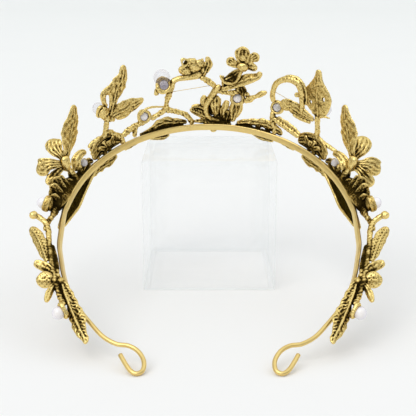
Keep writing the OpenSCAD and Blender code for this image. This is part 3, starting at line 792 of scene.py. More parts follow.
@dataclass
class Casting:
    """A cast piece: its parts are made in the crown's frame and melted into one.

    Its tables are rows of twigs, fronds, rings and balls; left and right hold the
    fronds of one twin only. Rows of dark spots are [place, reach, added darkness]:
    painted shade and tarnish in recesses and between parts; a negative amount lightens.
    """

    name: str
    mirrored: bool = False
    voxel: float = 0.255
    hammer: float = 0.16
    base_dark: float = 0.31
    # Darkening where the casting meets the band: painted shade and tarnish.
    band_shade_and_tarnish: float = 0.5
    twig_flat: Place = (0, 0, 1)
    grain_mm: float = 0.9
    fine_steps: int = 4
    fine_depth: float = 0.05
    broad_steps: int = 30
    broad_depth: float = 0.3
    band_up: float = 1.4
    band_out: float = 2.2
    band_reach: float = 2.6
    parts: list[bpy.types.Object] = field(default_factory=list)
    shade_and_tarnish_spots: ShadeAndTarnishSpots = ()
    twigs: Twigs = ()
    fronds: Fronds = ()
    left: Fronds = ()
    right: Fronds = ()
    rings: Rings = ()
    balls: Balls = ()

    def build(self) -> None:
        """Adds the parts in the tables."""
        for twig in self.twigs:
            self.twig(twig)
        for frond in self.fronds + (self.left if self.mirrored else self.right):
            self.frond(frond)
        for ring in self.rings:
            self.ring(ring)
        for ball in self.balls:
            self.ball(ball)

    def frond(self, frond: Frond) -> None:
        """Adds a frond along its rows, with its holes."""
        rows = np.array([[*CROWN.spot(r[:3]), r[3]] for r in frond.rows])
        back = EYE if frond.seen else CROWN.heading(frond.rows[len(frond.rows) // 2][0], frond.back)
        piece = Maker.frond(rows, back, frond)
        for hole in frond.holes:
            Maker.pierce(piece, hole)
        self.parts.append(piece)

    def twig(self, twig: Twig) -> None:
        """Adds a twig along its rows."""
        rows = np.array([[*CROWN.spot(r[:3]), r[3]] for r in twig.rows])
        flat = CROWN.heading(twig.rows[len(twig.rows) // 2][0], self.twig_flat)
        self.parts.append(Maker.tube(rows, flat, twig.knob, twig.flat))

    def ball(self, ball: Ball) -> None:
        """Adds a ball."""
        stand = CROWN.stand(ball.place, (0, 0, 1))

        def shape(t: np.ndarray, turn: np.ndarray) -> np.ndarray:
            """Returns the ball's points."""
            size = ball.radius * (1 + 0.05 * np.sin(turn * 3 + t * 7))
            local = Maker.polar(turn, np.sin(t * math.pi), -np.cos(t * math.pi))
            return stand.at(local * np.array(ball.squash) * size[:, None])

        self.parts.append(Maker.loft(14, 20, shape))

    def ring(self, ring: Ring) -> None:
        """Adds a ring that stands on its place, from a torus with squarer sides."""
        stand = CROWN.stand(ring.place, ring.face)
        minor = 0.25
        bpy.ops.mesh.primitive_torus_add(
            major_segments=48, minor_segments=14, major_radius=1.0, minor_radius=minor
        )
        piece = bpy.context.object
        co = Maker.points(piece.data)
        turn = np.arctan2(co[:, 1], co[:, 0])
        section = np.stack([np.hypot(co[:, 0], co[:, 1]) - 1, co[:, 2]]) / minor
        across, high = Maker.squarer(section, 0.7)
        radius = (ring.outer + ring.hole) / 2 + across * (ring.outer - ring.hole) / 2
        radius = radius * (1 + ring.lump * np.sin(turn * 3 + 1) * (across > 0))
        Maker.move_points(piece.data, stand.at(Maker.polar(turn, radius, (1 + high) * ring.depth / 2)))
        self.parts.append(piece)

    def finish(self, material: bpy.types.Material) -> bpy.types.Object:
        """Melts the parts into one mesh, textures it and puts it in the row frame.

        Args:
            material: The casting's finish.

        Returns:
            The finished piece.
        """
        Maker.clear_selection()
        for part in self.parts:
            part.select_set(True)
        bpy.context.view_layer.objects.active = self.parts[0]
        bpy.ops.object.join()
        piece = bpy.context.object
        Maker.face_out(piece)
        Maker.modify(piece, "REMESH", mode="VOXEL", voxel_size=self.voxel, use_smooth_shade=True)
        grain = bpy.data.textures.new(self.name + "_grain", "CLOUDS")
        grain.noise_scale = self.grain_mm
        grain.noise_depth = 2
        Maker.modify(piece, "DISPLACE", texture=grain, strength=self.hammer * 2, mid_level=0.5)
        bpy.data.textures.remove(grain)
        self.darkening(piece.data)
        piece.data.transform(CROWN.to_row(self.mirrored))
        if self.mirrored:
            piece.data.flip_normals()
        return settle(piece, self.name, material, "cast_gold", self.name)

    def darkening(self, mesh: bpy.types.Mesh) -> None:
        """Stores how dark each point is: tarnish dark in hollows and bright on edges, with painted shade and
        tarnish near the band and at the listed spots.
        """
        count = len(mesh.vertices)
        co = Maker.points(mesh)
        normal = Maker.points(mesh, "normal")
        edges = np.empty(len(mesh.edges) * 2, np.int32)
        mesh.edges.foreach_get("vertices", edges)
        a, b = edges.reshape(-1, 2).T
        degree = np.maximum(np.bincount(a, minlength=count) + np.bincount(b, minlength=count), 1)
        depth = []
        soft = co.copy()
        for step in range(1, self.broad_steps + 1):
            total = [np.bincount(a, soft[b, k], count) + np.bincount(b, soft[a, k], count) for k in range(3)]
            soft = soft * 0.3 + np.stack(total, 1) / degree[:, None] * 0.7
            if step in (self.fine_steps, self.broad_steps):
                depth.append(((soft - co) * normal).sum(1))
        fine, broad = depth[0] / self.fine_depth, depth[1] / self.broad_depth
        dark = self.base_dark + np.clip(fine * 0.3, -0.3, 0.45) + broad * 0.36
        # Painted shade and tarnish: darker near where the casting meets the band.
        round_at = np.radians(CROWN.angle(co[:, 0], co[:, 1]))
        oval = np.hypot(CROWN.side * np.sin(round_at), CROWN.front * np.cos(round_at))
        out = np.hypot(co[:, 0], co[:, 1]) - oval
        far = np.hypot(co[:, 2] - self.band_up, out - self.band_out) / self.band_reach
        near = np.exp(-(far**2))
        dark = dark + self.band_shade_and_tarnish * near
        # Painted shade and tarnish at the listed spots; a negative amount lightens.
        for place, reach, amount in self.shade_and_tarnish_spots:
            far = np.linalg.norm(co - CROWN.spot(place), axis=1)
            dark = dark + amount * np.exp(-((far / reach) ** 2))
        store(mesh, "patina", np.clip(self.shade(co, dark), 0, 1))

    def shade(self, co: np.ndarray, dark: np.ndarray) -> np.ndarray:
        """Returns the darkness with what is special to this casting; most have nothing."""
        return dark


def store(mesh: bpy.types.Mesh, name: str, values: np.ndarray) -> None:
    """Stores a number for each point of a mesh under a name."""
    layer = mesh.attributes.new(name, "FLOAT", "POINT")
    layer.data.foreach_set("value", values.astype(np.float32))


def settle(
    piece: bpy.types.Object, name: str, material: bpy.types.Material, slot: str, *nodes: str
) -> bpy.types.Object:
    """Names and dresses a finished piece and ties it to the frame.

    Args:
        piece: The object, in place.
        name: Its name.
        material: Its finish.
        slot: A material slot name; not used.
        *nodes: CAD nodes that it stands for.

    Returns:
        The same object.
    """
    piece.name = name + "_piece"
    piece.data.name = piece.name
    piece.data.materials.clear()
    piece.data.materials.append(material)
    piece.data.shade_smooth()
    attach(piece, "root")
    if nodes:
        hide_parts(*nodes)
    LOG.info("%s: %d faces", name, len(piece.data.polygons))
    return piece


@dataclass
class RoseSpray(Casting):
    """Forked twig left of the middle, with a rose on top and a bead's ring."""

    bead_spot: Place = (-17.2, 25, 6.7)
    bead_face: Place = (0, -0.66, 0.75)
    shade_and_tarnish_spots: ShadeAndTarnishSpots = (
        ((-8.9, 35.6, 8), 1.3, 1), ((-1.6, 32.4, 8), 1.3, 0.8), ((-6.2, 29.4, 7.4), 1.2, 0.7),
        ((-7.4, 29.4, 7.4), 0.9, 0.6), ((-1, 29.6, 7.6), 1.4, 0.5), ((-15.6, 20.4, 6), 1.2, 0.4),
    )
    twigs: Twigs = (
        *(Twig(rows, 0.2) for rows in (
            (
                (-17.4, 11, 4.6, 1.3), (-16.8, 15.5, 5.3, 1.15), (-15.9, 18.5, 5.8, 1.5),
                (-14.7, 22.2, 6.3, 1.35), (-13.2, 26.6, 7.1, 1.2),
            ),
            (
                (-18.4, 12.2, 4.8, 1.3), (-16.2, 11, 4.5, 1.5), (-13, 9.3, 4.1, 1.25), (-9.5, 7, 3.6, 1.35),
                (-6.6, 1.6, 2.5, 1.3),
            ),
            ((-16.8, 12, 4.7, 1.3), (-20, 10.2, 4.4, 1.3), (-22.4, 9.2, 4.2, 1.25), (-24.2, 8.6, 4, 1.2)),
            ((-18.8, 23.6, 7.6, 1), (-20.2, 21.4, 7.2, 1.3), (-19.7, 19.7, 7.2, 1.1)),
            ((-3.6, 27.4, 7.1, 1.4), (-0.2, 24.4, 6.7, 1.45), (2.4, 21.6, 6.2, 1.4)),
        )),
    )
    fronds: Fronds = (
        Frond((
            (-14.4, 26, 6.9, 1.1), (-11.6, 26.9, 7.2, 1.3), (-9.2, 27, 7.3, 1.5), (-6.6, 27.5, 7.4, 2.1),
            (-4.4, 28, 7.5, 2.4), (-2.6, 27.6, 7.4, 1.7),
        ), Look.PLAIN, thick=2.6),
        Frond((
            (-6.6, 29.2, 7.7, 1.4), (-8.4, 30.4, 7.8, 2.4), (-9.9, 31.8, 8, 2.5), (-10.6, 33.2, 8.2, 1.4),
        ), Look.PETAL, thick=2.4),
        Frond((
            (-5.4, 30.2, 8, 2), (-6.2, 32.8, 8.5, 3.2), (-7.4, 34.9, 8.8, 3.5), (-8, 36.6, 9, 2),
        ), thick=2.8),
        Frond(((-2.4, 28.6, 7.6, 1.5), (-2.2, 32, 8.2, 1.6), (-2.9, 34.6, 8.6, 1.1)), Look.PLAIN, thick=1.8),
        Frond(((-4.6, 29.8, 8.2, 1.6), (-4, 32.6, 8.6, 1.7), (-4.6, 35.2, 8.9, 1.2)), thick=1.8),
        Frond((
            (-2.4, 27.4, 7.2, 1), (-1.2, 30.6, 7.8, 1.6), (-0.4, 33.4, 8.4, 2.3), (-0.4, 35.4, 8.7, 1.6),
            (-0.9, 37.6, 9, 0.9),
        ), cup=-0.4),
        Frond(((-2.4, 28, 7.4, 0.8), (-2.4, 33, 8.6, 0.7), (-2.5, 36.6, 9, 0.5)), Look.PLAIN),
    )
    rings: Rings = (
        Ring(bead_spot, bead_face, 4.4, 2.35, 1.9, 0.06),
        Ring((-8.9, 35.4, 8.6), (0, 0.3, -0.95), 2.3, 1, 1, 0.16),
    )
    balls: Balls = (Ball((-5.4, 32, 8.6), 3.2, (1.15, 1, 0.7)), Ball((-3.6, 33.6, 8.8), 2.6, (1, 0.9, 0.7)),)


@dataclass
class CentreSpray(Casting):
    """Curling stem with a bud in its curl, a blossom, a long leaf and a pearl's ring."""

    voxel: float = 0.235
    shade_and_tarnish_spots: ShadeAndTarnishSpots = (
        ((7, 6, 3.4), 2.2, 0.5), ((8.6, 27.4, 7.6), 3, 1), ((12.6, 20.6, 6), 2.4, 0.6),
        ((1.8, 2.4, 3.1), 2.6, 0.6), ((8, 7.4, 4.2), 1.6, 0.6), ((4.2, 5, 4.2), 2.6, 0.4),
        ((-0.4, 8.6, 5.4), 1.6, 0.6), ((2.9, 15, 4.2), 1, 0.6), ((6.4, 2.6, 3.1), 3, 0.6),
        ((15.8, 31.6, 8.2), 1.8, 0.7), ((12, 41, 9.4), 1, 0.6), ((10.2, 7.6, 3.8), 1, 0.4),
        ((13.2, 20.6, 6.4), 1.8, 0.7), ((-5.4, 7.2, 3.6), 2.4, 0.35), ((-5.2, 10.9, 4.2), 2, 0.5),
        ((1.8, 16.4, 5.2), 1.6, 0.5), ((3.6, 10.4, 4.2), 1.2, 0.6), ((12.3, 36.6, 8.8), 0.8, 0.5),
        ((4.4, 26.4, 7), 1.6, 0.4), ((10.9, 16, 5), 2.2, 0.4),
    )
    twigs: Twigs = (
        Twig((
            (4.6, 22, 6.3, 1.2), (2.9, 20.8, 6.1, 1.6), (1, 16.5, 5.5, 1.75), (-1.2, 12, 4.8, 1.65),
            (-1.4, 8, 4.2, 1.5), (0.1, 4.5, 3.6, 1.35), (4.6, 2.9, 3, 1.1),
        ), 0.04),
        Twig(((-2.5, 1.8, 2.4, 1.3), (3.5, 1.4, 2.5, 1.4), (9.2, 1.8, 2.6, 1.3)), 0.2),
        Twig((
            (2.4, 20, 6, 1.3), (6, 18.8, 5.9, 1.2), (9, 18.8, 6, 1.3), (12.4, 20.2, 6.6, 1.4),
            (15.4, 17.6, 6.4, 1.1),
        ), 0.2),
        Twig((
            (13.4, 15.2, 5.6, 1.3), (15.8, 16, 5.6, 1.2), (17.4, 18, 5.9, 0.9), (19.3, 19.8, 6.1, 1.1),
            (22, 22, 6.4, 0.8),
        ), 0.12),
        Twig((
            (14.2, 16.4, 5.4, 0.8), (16.4, 18, 5.7, 1), (18.2, 19.2, 5.8, 0.9), (20.2, 21.8, 6.1, 1),
            (22.4, 22.8, 6.3, 0.7),
        ), 0.12),
        Twig((
            (4, 28.2, 7.2, 0.6), (5.5, 24.8, 6.6, 0.85), (8.2, 24.1, 6.4, 0.9), (10.4, 26, 6.7, 0.9),
            (11.7, 30.5, 7.4, 0.95), (12.2, 33, 8, 1),
        ), 0.04),
    )
    fronds: Fronds = (
        Frond((
            (12.3, 33.8, 8.4, 1.8), (12.1, 36.8, 9, 2.9), (11.9, 39.4, 9.5, 3.7), (11.9, 41.9, 10, 3.6),
            (11.7, 43.9, 10.3, 2.2),
        ), Look.PETAL, cup=-0.7),
        Frond((
            (12.2, 36.4, 8.4, 1.9), (12.2, 38.2, 8.8, 2.4), (12.1, 39.8, 9.1, 1.8),
        ), Look.PLAIN, thick=1.5),
        Frond((
            (11.2, 33, 8.3, 1.2), (9.4, 34.2, 8.5, 1.9), (7.7, 35.6, 8.8, 2.6), (6.3, 36.6, 9, 1.7),
        ), Look.PETAL, cup=-0.3),
        Frond((
            (13.4, 35, 8.7, 1.6), (15.1, 37.8, 9.2, 1.8), (16.6, 39.6, 9.5, 2.6), (18, 40.7, 9.7, 1.7),
        ), Look.PETAL, cup=-0.5),
        Frond((
            (13.2, 34, 8.5, 1.6), (14.9, 34.1, 8.5, 2.2), (16.4, 34, 8.5, 2.2), (17.6, 34.6, 8.6, 1.1),
        ), Look.RIBBED),
        Frond((
            (4.4, 20.6, 6, 1.6), (8.5, 23, 6.4, 2), (11.5, 25.2, 6.9, 2.5), (14, 27.2, 7.2, 2.8),
            (16.2, 28.4, 7.5, 2.3), (18.2, 29.9, 7.8, 1.7), (19.1, 32.4, 8.2, 1.2),
        ), depth=0.7, seen=True),
        Frond((
            (1.4, 4.8, 5.2, 2), (1, 8.6, 5.6, 2.6), (1.4, 12.4, 6.2, 2.4), (2.2, 15.2, 6.6, 1.6),
        ), Look.PLAIN),
        Frond(((1.6, 4.2, 4, 2), (4.2, 5.2, 4.4, 2.6), (7.2, 6.6, 4.6, 2.4), (8.2, 9, 4.8, 1.6)), Look.PLAIN),
        Frond((
            (2.9, 6.2, 4, 1.1), (2.5, 9.4, 4.3, 2.4), (2.3, 12.6, 4.7, 3), (2.5, 15.2, 5.1, 2.8),
            (2.9, 17, 5.4, 1.7),
        ), thick=2.6, depth=0.8),
        Frond((
            (5.6, 25.4, 7.2, 0.9), (7.6, 26.6, 7.5, 2.1), (9.6, 28.4, 7.8, 2.5), (11.4, 31, 8.2, 1.8),
        ), seen=True),
        Frond(((5.2, 22.4, 6.4, 0.9), (5.4, 24.9, 6.9, 1.1), (4.8, 27.6, 7.4, 0.8))),
        Frond((
            (9.6, 13.4, 4.5, 1.3), (9, 10.2, 4.1, 1.4), (9.1, 6.5, 3.4, 1.3), (9.4, 3.1, 2.8, 0.9),
        ), Look.PLAIN),
        Frond(((10.6, 13.4, 4.7, 1.7), (10.9, 10, 4.1, 1.9), (10.3, 6.6, 3.4, 1.5), (9.7, 3.4, 2.8, 0.8))),
        Frond(((12.6, 13.6, 5.1, 0.8), (12.2, 9.8, 4.4, 1.3), (10.8, 5.8, 3.7, 0.9)), Look.PLAIN),
        Frond((
            (6.6, 3.9, 3.1, 1.5), (5.8, 7.9, 3.7, 1.9), (6.3, 11.2, 4.3, 1.8), (7.2, 14.6, 4.9, 1.3),
        ), Look.RIBBED),
        Frond(((6.7, 2.6, 2.9, 2.2), (7.4, 6.1, 3.5, 1.7), (7.8, 9.2, 4.1, 1)), cup=-0.4),
        Frond((
            (-0.9, 4.8, 3.4, 2.2), (-4.2, 7.4, 3.7, 2.1), (-6.6, 9.1, 4, 1.7), (-8, 9.4, 4, 0.7),
        ), Look.VEINED),
        Frond((
            (-1.1, 8.5, 3.9, 1.4), (-3.3, 10.6, 4.3, 1.4), (-5.5, 11.2, 4.3, 1.2), (-7.2, 11.3, 4.3, 0.6),
        )),
        Frond((
            (-2.1, 11, 4.3, 1.1), (-2.4, 13.4, 4.7, 1.7), (-2.1, 15.5, 5.1, 1.5), (-1.3, 16.8, 5.3, 1),
        ), Look.PLAIN),
        Frond(((12.5, 18.7, 6, 1.1), (13.2, 20.1, 6.2, 1.7), (12, 22.1, 6.6, 1.8), (9.7, 20.9, 6.3, 1.3))),
        Frond((
            (-6.2, 2.9, 3, 0.8), (-3.8, 2.8, 3, 1.3), (0.3, 2.9, 3, 1.6), (4.4, 2.9, 3.1, 1.6),
            (8.9, 3.1, 3.2, 1.2),
        )),
        Frond(((1.8, 1.6, 2.6, 1.9), (1.7, -1.6, 2.7, 2.1), (1.4, -4.2, 2.8, 1.5))),
    )
    rings: Rings = (Ring((10.9, 16, 5.4), RING_FACE, 3.9, 2.2),)
    balls: Balls = (Ball((12.4, 33.6, 7.6), 2.9, (1, 0.85, 0.55)),)


@dataclass
class LeafSprayLeft(Casting):
    """Ring, knobbly branch, tall leaf, side leaf and a bead's ring."""

    shade_and_tarnish_spots: ShadeAndTarnishSpots = (
        ((-30, 16.2, 5.4), 1.8, 0.6), ((-38.4, 15, 5), 1.2, 0.5), ((-41.6, 14, 5), 1.6, 0.4),
        ((-35, 26.4, 7), 1.6, 0.35), ((-38.4, 22.4, 6.4), 1.2, 0.6), ((-26.4, 11, 3.8), 2, 0.4),
    )
    twigs: Twigs = (
        Twig((
            (-16.4, 12.2, 4.9, 0.6), (-19.6, 13.8, 4.9, 0.5), (-24.6, 15, 5, 0.6), (-28.4, 12.8, 4.6, 0.8),
        ), 0.05),
        Twig((
            (-26.6, 7.6, 4, 1.2), (-28.8, 8, 4, 1.3), (-33.2, 7.4, 3.7, 1.5), (-37.6, 6, 3.6, 1.35),
            (-41.6, 10.8, 4.2, 1.2), (-43.8, 12.6, 4.9, 1.3),
        ), 0.24),
        Twig(((-37.6, 6, 3.6, 1.4), (-37.6, 1.8, 2.2, 1.3)), 0.2),
        Twig(((-30.5, 7.6, 3.9, 1.1), (-31.6, 4.6, 3.2, 1.2), (-31.8, 2.2, 2.4, 1.1)), 0.2),
        Twig((
            (-41.4, 20.4, 6.3, 1.3), (-43.4, 14, 5.1, 1.25), (-45.2, 10.3, 4.7, 1.1), (-48.4, 8.2, 5.1, 1),
            (-51.8, 7, 5.7, 1),
        ), 0.12),
        Twig(((-46.2, 11.2, 5, 0.8), (-49.2, 10.4, 5.6, 1.1), (-52.2, 9.2, 6, 0.9)), 0.2),
        Twig(((-41.6, 17.4, 5.8, 1.3), (-38.6, 16.4, 5.4, 1.1)), 0.2),
        Twig(((-41.6, 18, 6, 1), (-42.8, 21, 6.6, 1.2), (-42.4, 25.6, 7, 1.2)), 0.25),
    )
    fronds: Fronds = (
        Frond((
            (-40.6, 18.6, 6.1, 1.3), (-38.6, 23.9, 6.6, 2), (-37.2, 27.3, 7.3, 3.3), (-36.1, 30.3, 7.8, 5),
            (-34.5, 32.6, 8.2, 4.7), (-33.1, 34.8, 8.6, 3.8), (-32.2, 37, 9, 2.5), (-31.9, 39, 9.4, 2.1),
            (-31.9, 41.2, 9.8, 1.2),
        ), lobes=0.05),
        Frond((
            (-41.2, 24.2, 6.8, 1.2), (-41.8, 28.1, 7.4, 1.4), (-41.4, 30.7, 7.9, 1.8), (-40.4, 31.8, 8, 2.2),
            (-39, 32, 8.1, 2.2), (-37.2, 32.6, 8.2, 1.9),
        ), lobes=0.04),
        Frond((
            (-40, 18.4, 5.8, 1.8), (-38.2, 19, 5.7, 3.3), (-36.3, 18.8, 5.7, 4.7), (-33.9, 18.9, 5.7, 4.9),
            (-31.8, 19.5, 5.9, 4.1), (-29.7, 19.5, 5.8, 3.5), (-27.9, 19.9, 5.9, 2.4),
            (-25.8, 20.8, 5.9, 0.9),
        ), lobes=0.04, depth=0.7),
    )
    rings: Rings = (
        Ring((-26.4, 11, 4.1), RING_FACE, 3.8, 2.2),
        Ring((-43, 22.6, 7.2), (0.1, 0.1, 0.95), 3.3, 1.9, 1.5, 0.12),
    )
    balls: Balls = (Ball((-42.6, 21.8, 6.6), 2.7, (1.1, 1.2, 0.5)), Ball((-42, 18.6, 6.2), 1.8),)


@dataclass
class ArchSpray(Casting):
    """Ring under a stem that arches over, with a curling leaf and a branch."""

    shade_and_tarnish_spots: ShadeAndTarnishSpots = (
        ((37.6, 26, 7.4), 1.8, 0.5), ((36.4, 31.6, 8.6), 1.4, 0.4), ((24.6, 21.6, 6.2), 1, 0.5),
        ((35.4, 18.6, 6), 1.2, 0.5), ((32.4, 22.4, 6.4), 1, 0.6), ((33.4, 15.6, 5.2), 1.6, 0.3),
        ((27.2, 12.4, 4.6), 1.4, 0.5), ((26.8, 16, 5), 2, 0.4),
    )
    twigs: Twigs = (
        Twig((
            (25.4, 18.4, 5.8, 1.4), (24.6, 22.6, 6.4, 1.35), (25.5, 28.6, 7.4, 1.45), (29.1, 32.6, 8, 1.6),
            (33.5, 33, 8.1, 1.9), (35.9, 29.4, 7.5, 1.8), (37.1, 22.4, 6.4, 1.4), (37.5, 18.6, 5.9, 1.1),
        ), 0.05, 0.85),
        Twig((
            (28.2, 33.4, 8.4, 0.5), (30.6, 34.8, 8.7, 0.75), (33.6, 34.9, 8.8, 0.75), (36.4, 32.4, 8.4, 0.7),
            (38, 28.4, 7.8, 0.65), (38.5, 23.4, 6.8, 0.5),
        ), 0.04),
        Twig(((36.6, 28, 7, 0.9), (34.8, 27.2, 7, 1.1), (33.4, 26.4, 7, 1.5)), 0.06),
        Twig((
            (25.7, 13.6, 5.2, 1.5), (25.9, 9.8, 4.1, 1.5), (27, 5.6, 3.4, 1.3), (28.4, 2.2, 2.1, 1.3),
        ), 0.18),
        Twig((
            (26, 10.6, 4.2, 1.3), (29.4, 8.8, 3.9, 1.5), (32.6, 7.8, 3.8, 1.45), (35.4, 7, 3.7, 1.6),
            (39, 6, 3.5, 1.1),
        ), 0.1),
    )
    fronds: Fronds = (
        Frond((
            (43.2, 18.5, 5.7, 1), (40.2, 18.7, 5.7, 2.3), (37.4, 18.7, 5.7, 3.4), (34.8, 19.2, 5.8, 3.8),
            (31.9, 19.8, 5.9, 3.3), (29.5, 19, 5.7, 3), (28, 18.5, 5.6, 1.9),
        ), Look.RIBBED, lobes=0.03, depth=0.6),
        Frond(((42, 16.4, 5.3, 0.8), (38, 15.8, 5, 1.1), (34, 16.2, 5, 0.9)), Look.PLAIN),
        Frond((
            (27.6, 11.2, 4.4, 1.2), (30.6, 9.6, 4.1, 1.9), (34.2, 8.6, 4, 1.9), (38.6, 7, 3.8, 1.2),
        ), Look.RIBBED, lobes=0.08, depth=0.5),
    )
    rings: Rings = (Ring((26.8, 16, 5.4), RING_FACE, 3.6, 2.2),)


@dataclass
class LeafSprayRight(Casting):
    """Broad pierced leaf on a forked stem, with a bead's ring behind it."""

    shade_and_tarnish_spots: ShadeAndTarnishSpots = (
        ((39.4, 30, 7.9), 3.4, 0.28), ((43.4, 24.6, 6.8), 1, 0.5), ((44.4, 28.4, 7.2), 1.2, 0.5),
        ((38.2, 26, 7), 1.2, 0.5), ((43.6, 21, 6.2), 1.6, 0.7), ((46, 12.6, 4.8), 1.4, 0.4),
    )
    twigs: Twigs = (
        Twig((
            (44.2, 22, 6.2, 1.4), (45, 17.6, 5.6, 1.25), (45.8, 14, 5, 1.3), (46.2, 11, 4.8, 1.2),
            (49.6, 9.4, 5.6, 1.1), (52.6, 9, 6.4, 1), (55.4, 8.6, 7, 0.9),
        ), 0.14),
        Twig(((45.8, 14, 5, 1.2), (45.2, 10.4, 4.8, 1.1), (46.8, 7.6, 4.4, 1)), 0.2),
        Twig(((45.2, 22.4, 6.4, 0.8), (47.6, 23.4, 6.8, 0.5), (49.6, 24, 7.2, 0.3)), 0.1),
    )
    fronds: Fronds = (
        Frond((
            (44.8, 20.6, 6.1, 2.4), (44.2, 24.2, 6.7, 5.8), (43.3, 27.6, 7.3, 8), (42.5, 30.8, 7.9, 8.4),
            (42, 33.8, 8.5, 7.2), (41.6, 36.6, 9, 4.8), (41.3, 39.2, 9.4, 2.8), (41, 41.6, 9.9, 2),
            (40.8, 44, 10.2, 1.6),
        ), thick=1.4, depth=0.46, holes=(
            Hole((40.4, 26.6, 7.4), (0.3, -0.3, 1), 0.95, 1.1),
            Hole((45.2, 31.4, 7.4), (0.3, -0.3, 1), 0.95, 1.2),
        )),
    )
    rings: Rings = (Ring((42.8, 23.4, 6.4), RING_FACE, 2, 0.9, 1.2, 0.08),)


@dataclass
class Rosette(Casting):
    """Small rosette of hammered petals low on the band, under a long curved leaf."""

    voxel: float = 0.2
    hammer: float = 0.1
    base_dark: float = 0.5
    band_shade_and_tarnish: float = 0.35
    shade_and_tarnish_spots: ShadeAndTarnishSpots = (((44, 4, 3.2), 4.4, 0.45), ((49, 4.4, 3.2), 2, 0.4))
    twigs: Twigs = tuple(Twig(((a, 1.8, 2.5, 1.3), (44.8, 5, 4, 1.7)), 0.1) for a in (43.6, 47.4))
    fronds: Fronds = (
        Frond((
            (38.2, 3.6, 3.2, 1.4), (41.2, 5.2, 3.5, 3.2), (44.4, 6.2, 3.8, 4.4), (47.6, 6.2, 3.8, 4.4),
            (50.4, 4.6, 3.5, 3), (52.4, 3.4, 3.2, 1.4),
        ), thick=1.6, holes=(Hole((42.1, 6, 3.4), IN, 1.1, 1.3),)),
        Frond((
            (38, 6.2, 3.7, 1), (41, 8.6, 4.1, 1.6), (44.2, 9.8, 4.4, 1.9), (47.6, 9.8, 4.4, 2),
            (50.2, 7.8, 4.1, 1.9), (52.4, 5.4, 3.7, 1.2),
        ), depth=0.7),
        Frond((
            (40.8, -3, 2.6, 1), (43.4, -4.6, 2.5, 2.3), (47.6, -4.3, 2.5, 2.4), (52.2, -4.1, 2.4, 2.1),
            (56.6, -4.2, 2.3, 1.6), (59.4, -4.4, 2.4, 0.9),
        ), lobes=0.16),
    )
    balls: Balls = tuple(
        Ball(
            (39.8 + 2.1 * k, 4.2 + 2.4 * math.sin(k * 2.4), 2.8 + 0.3 * math.cos(k * 1.7)),
            1.0 + 0.25 * math.sin(k * 3.1), (1.2, 0.8, 0.8),
        )
        for k in range(6)
    )
    middle: Place = (44.8, 4.6, 3.2)
    petals: tuple[tuple[float, float], ...] = (
        (20, 7), (60, 5.4), (100, 4.6), (140, 6.4), (185, 7), (225, 5.6), (270, 4.6), (315, 5.6),
    )
    petal_line: tuple[tuple[float, float], ...] = (
        (0, 0.3), (0.15, 0.42), (0.35, 0.78), (0.55, 0.98), (0.75, 1), (0.9, 0.84), (1, 0.46),
    )
    petal_thick: float = 0.8

    def build(self) -> None:
        """Adds the tables' parts, and the petals, every other one narrow and raised."""
        super().build()
        for k, (turn, reach) in enumerate(self.petals):
            raised = k % 2
            self.petal(-turn, reach, 1.2 + 1.1 * raised, 1.5 if raised else 2.1)

    def petal(self, turn: float, reach: float, rise: float, half_w: float) -> None:
        """Adds a bowed petal.

        Args:
            turn: Its direction round the rosette's middle in degrees.
            reach: Distance of its tip from the middle.
            rise: Height of its tip.
            half_w: Half of its width.
        """
        stand = CROWN.stand(self.middle, (0, 0.5, 0.86), turn)
        base, tip = stand.at(np.array([[0.4, 0, 0.2], [reach, 0, rise]]))
        run = tip - base
        length = float(np.linalg.norm(run))
        side = unit(np.cross(run, -stand.z))
        face = unit(np.cross(side, run))
        line = smooth_run(np.array(self.petal_line), 6)

        def shape(t: np.ndarray, turn: np.ndarray) -> np.ndarray:
            """Returns the petal's points."""
            t = np.clip((t - 0.5) * 1.04 + 0.5, 0, 1)
            top = np.sin(turn)
            s = Maker.squarer(np.cos(turn), 0.8)
            wide = np.interp(t, line[:, 0], line[:, 1])
            body = self.petal_thick / 2 * np.sqrt(np.clip(1 - np.abs(s) ** 3, 0, 1))
            body = body * np.where(top >= 0, 1, -1)
            ends = np.sqrt(np.clip(np.minimum(t, 1 - t) * length / 0.5, 0, 1))
            lift = Maker.relief(Look.HAMMERED, t, s, length, half_w)
            lift = lift * np.where(top >= 0, 1, -0.35) * (np.abs(top) > 0.02)
            height = (body + lift) * ends - 0.5 * np.abs(s) ** 1.6 * wide + 2.4 * t * (1 - t)
            across = side * (half_w * wide * s * ends)[:, None]
            return base + run * t[:, None] + across + face * height[:, None]

        rings = int(np.clip(length / 0.3, 16, 110))
        segments = int(np.clip(half_w * 4 / 0.24, 20, 72)) // 2 * 2
        self.parts.append(Maker.loft(rings, segments, shape))


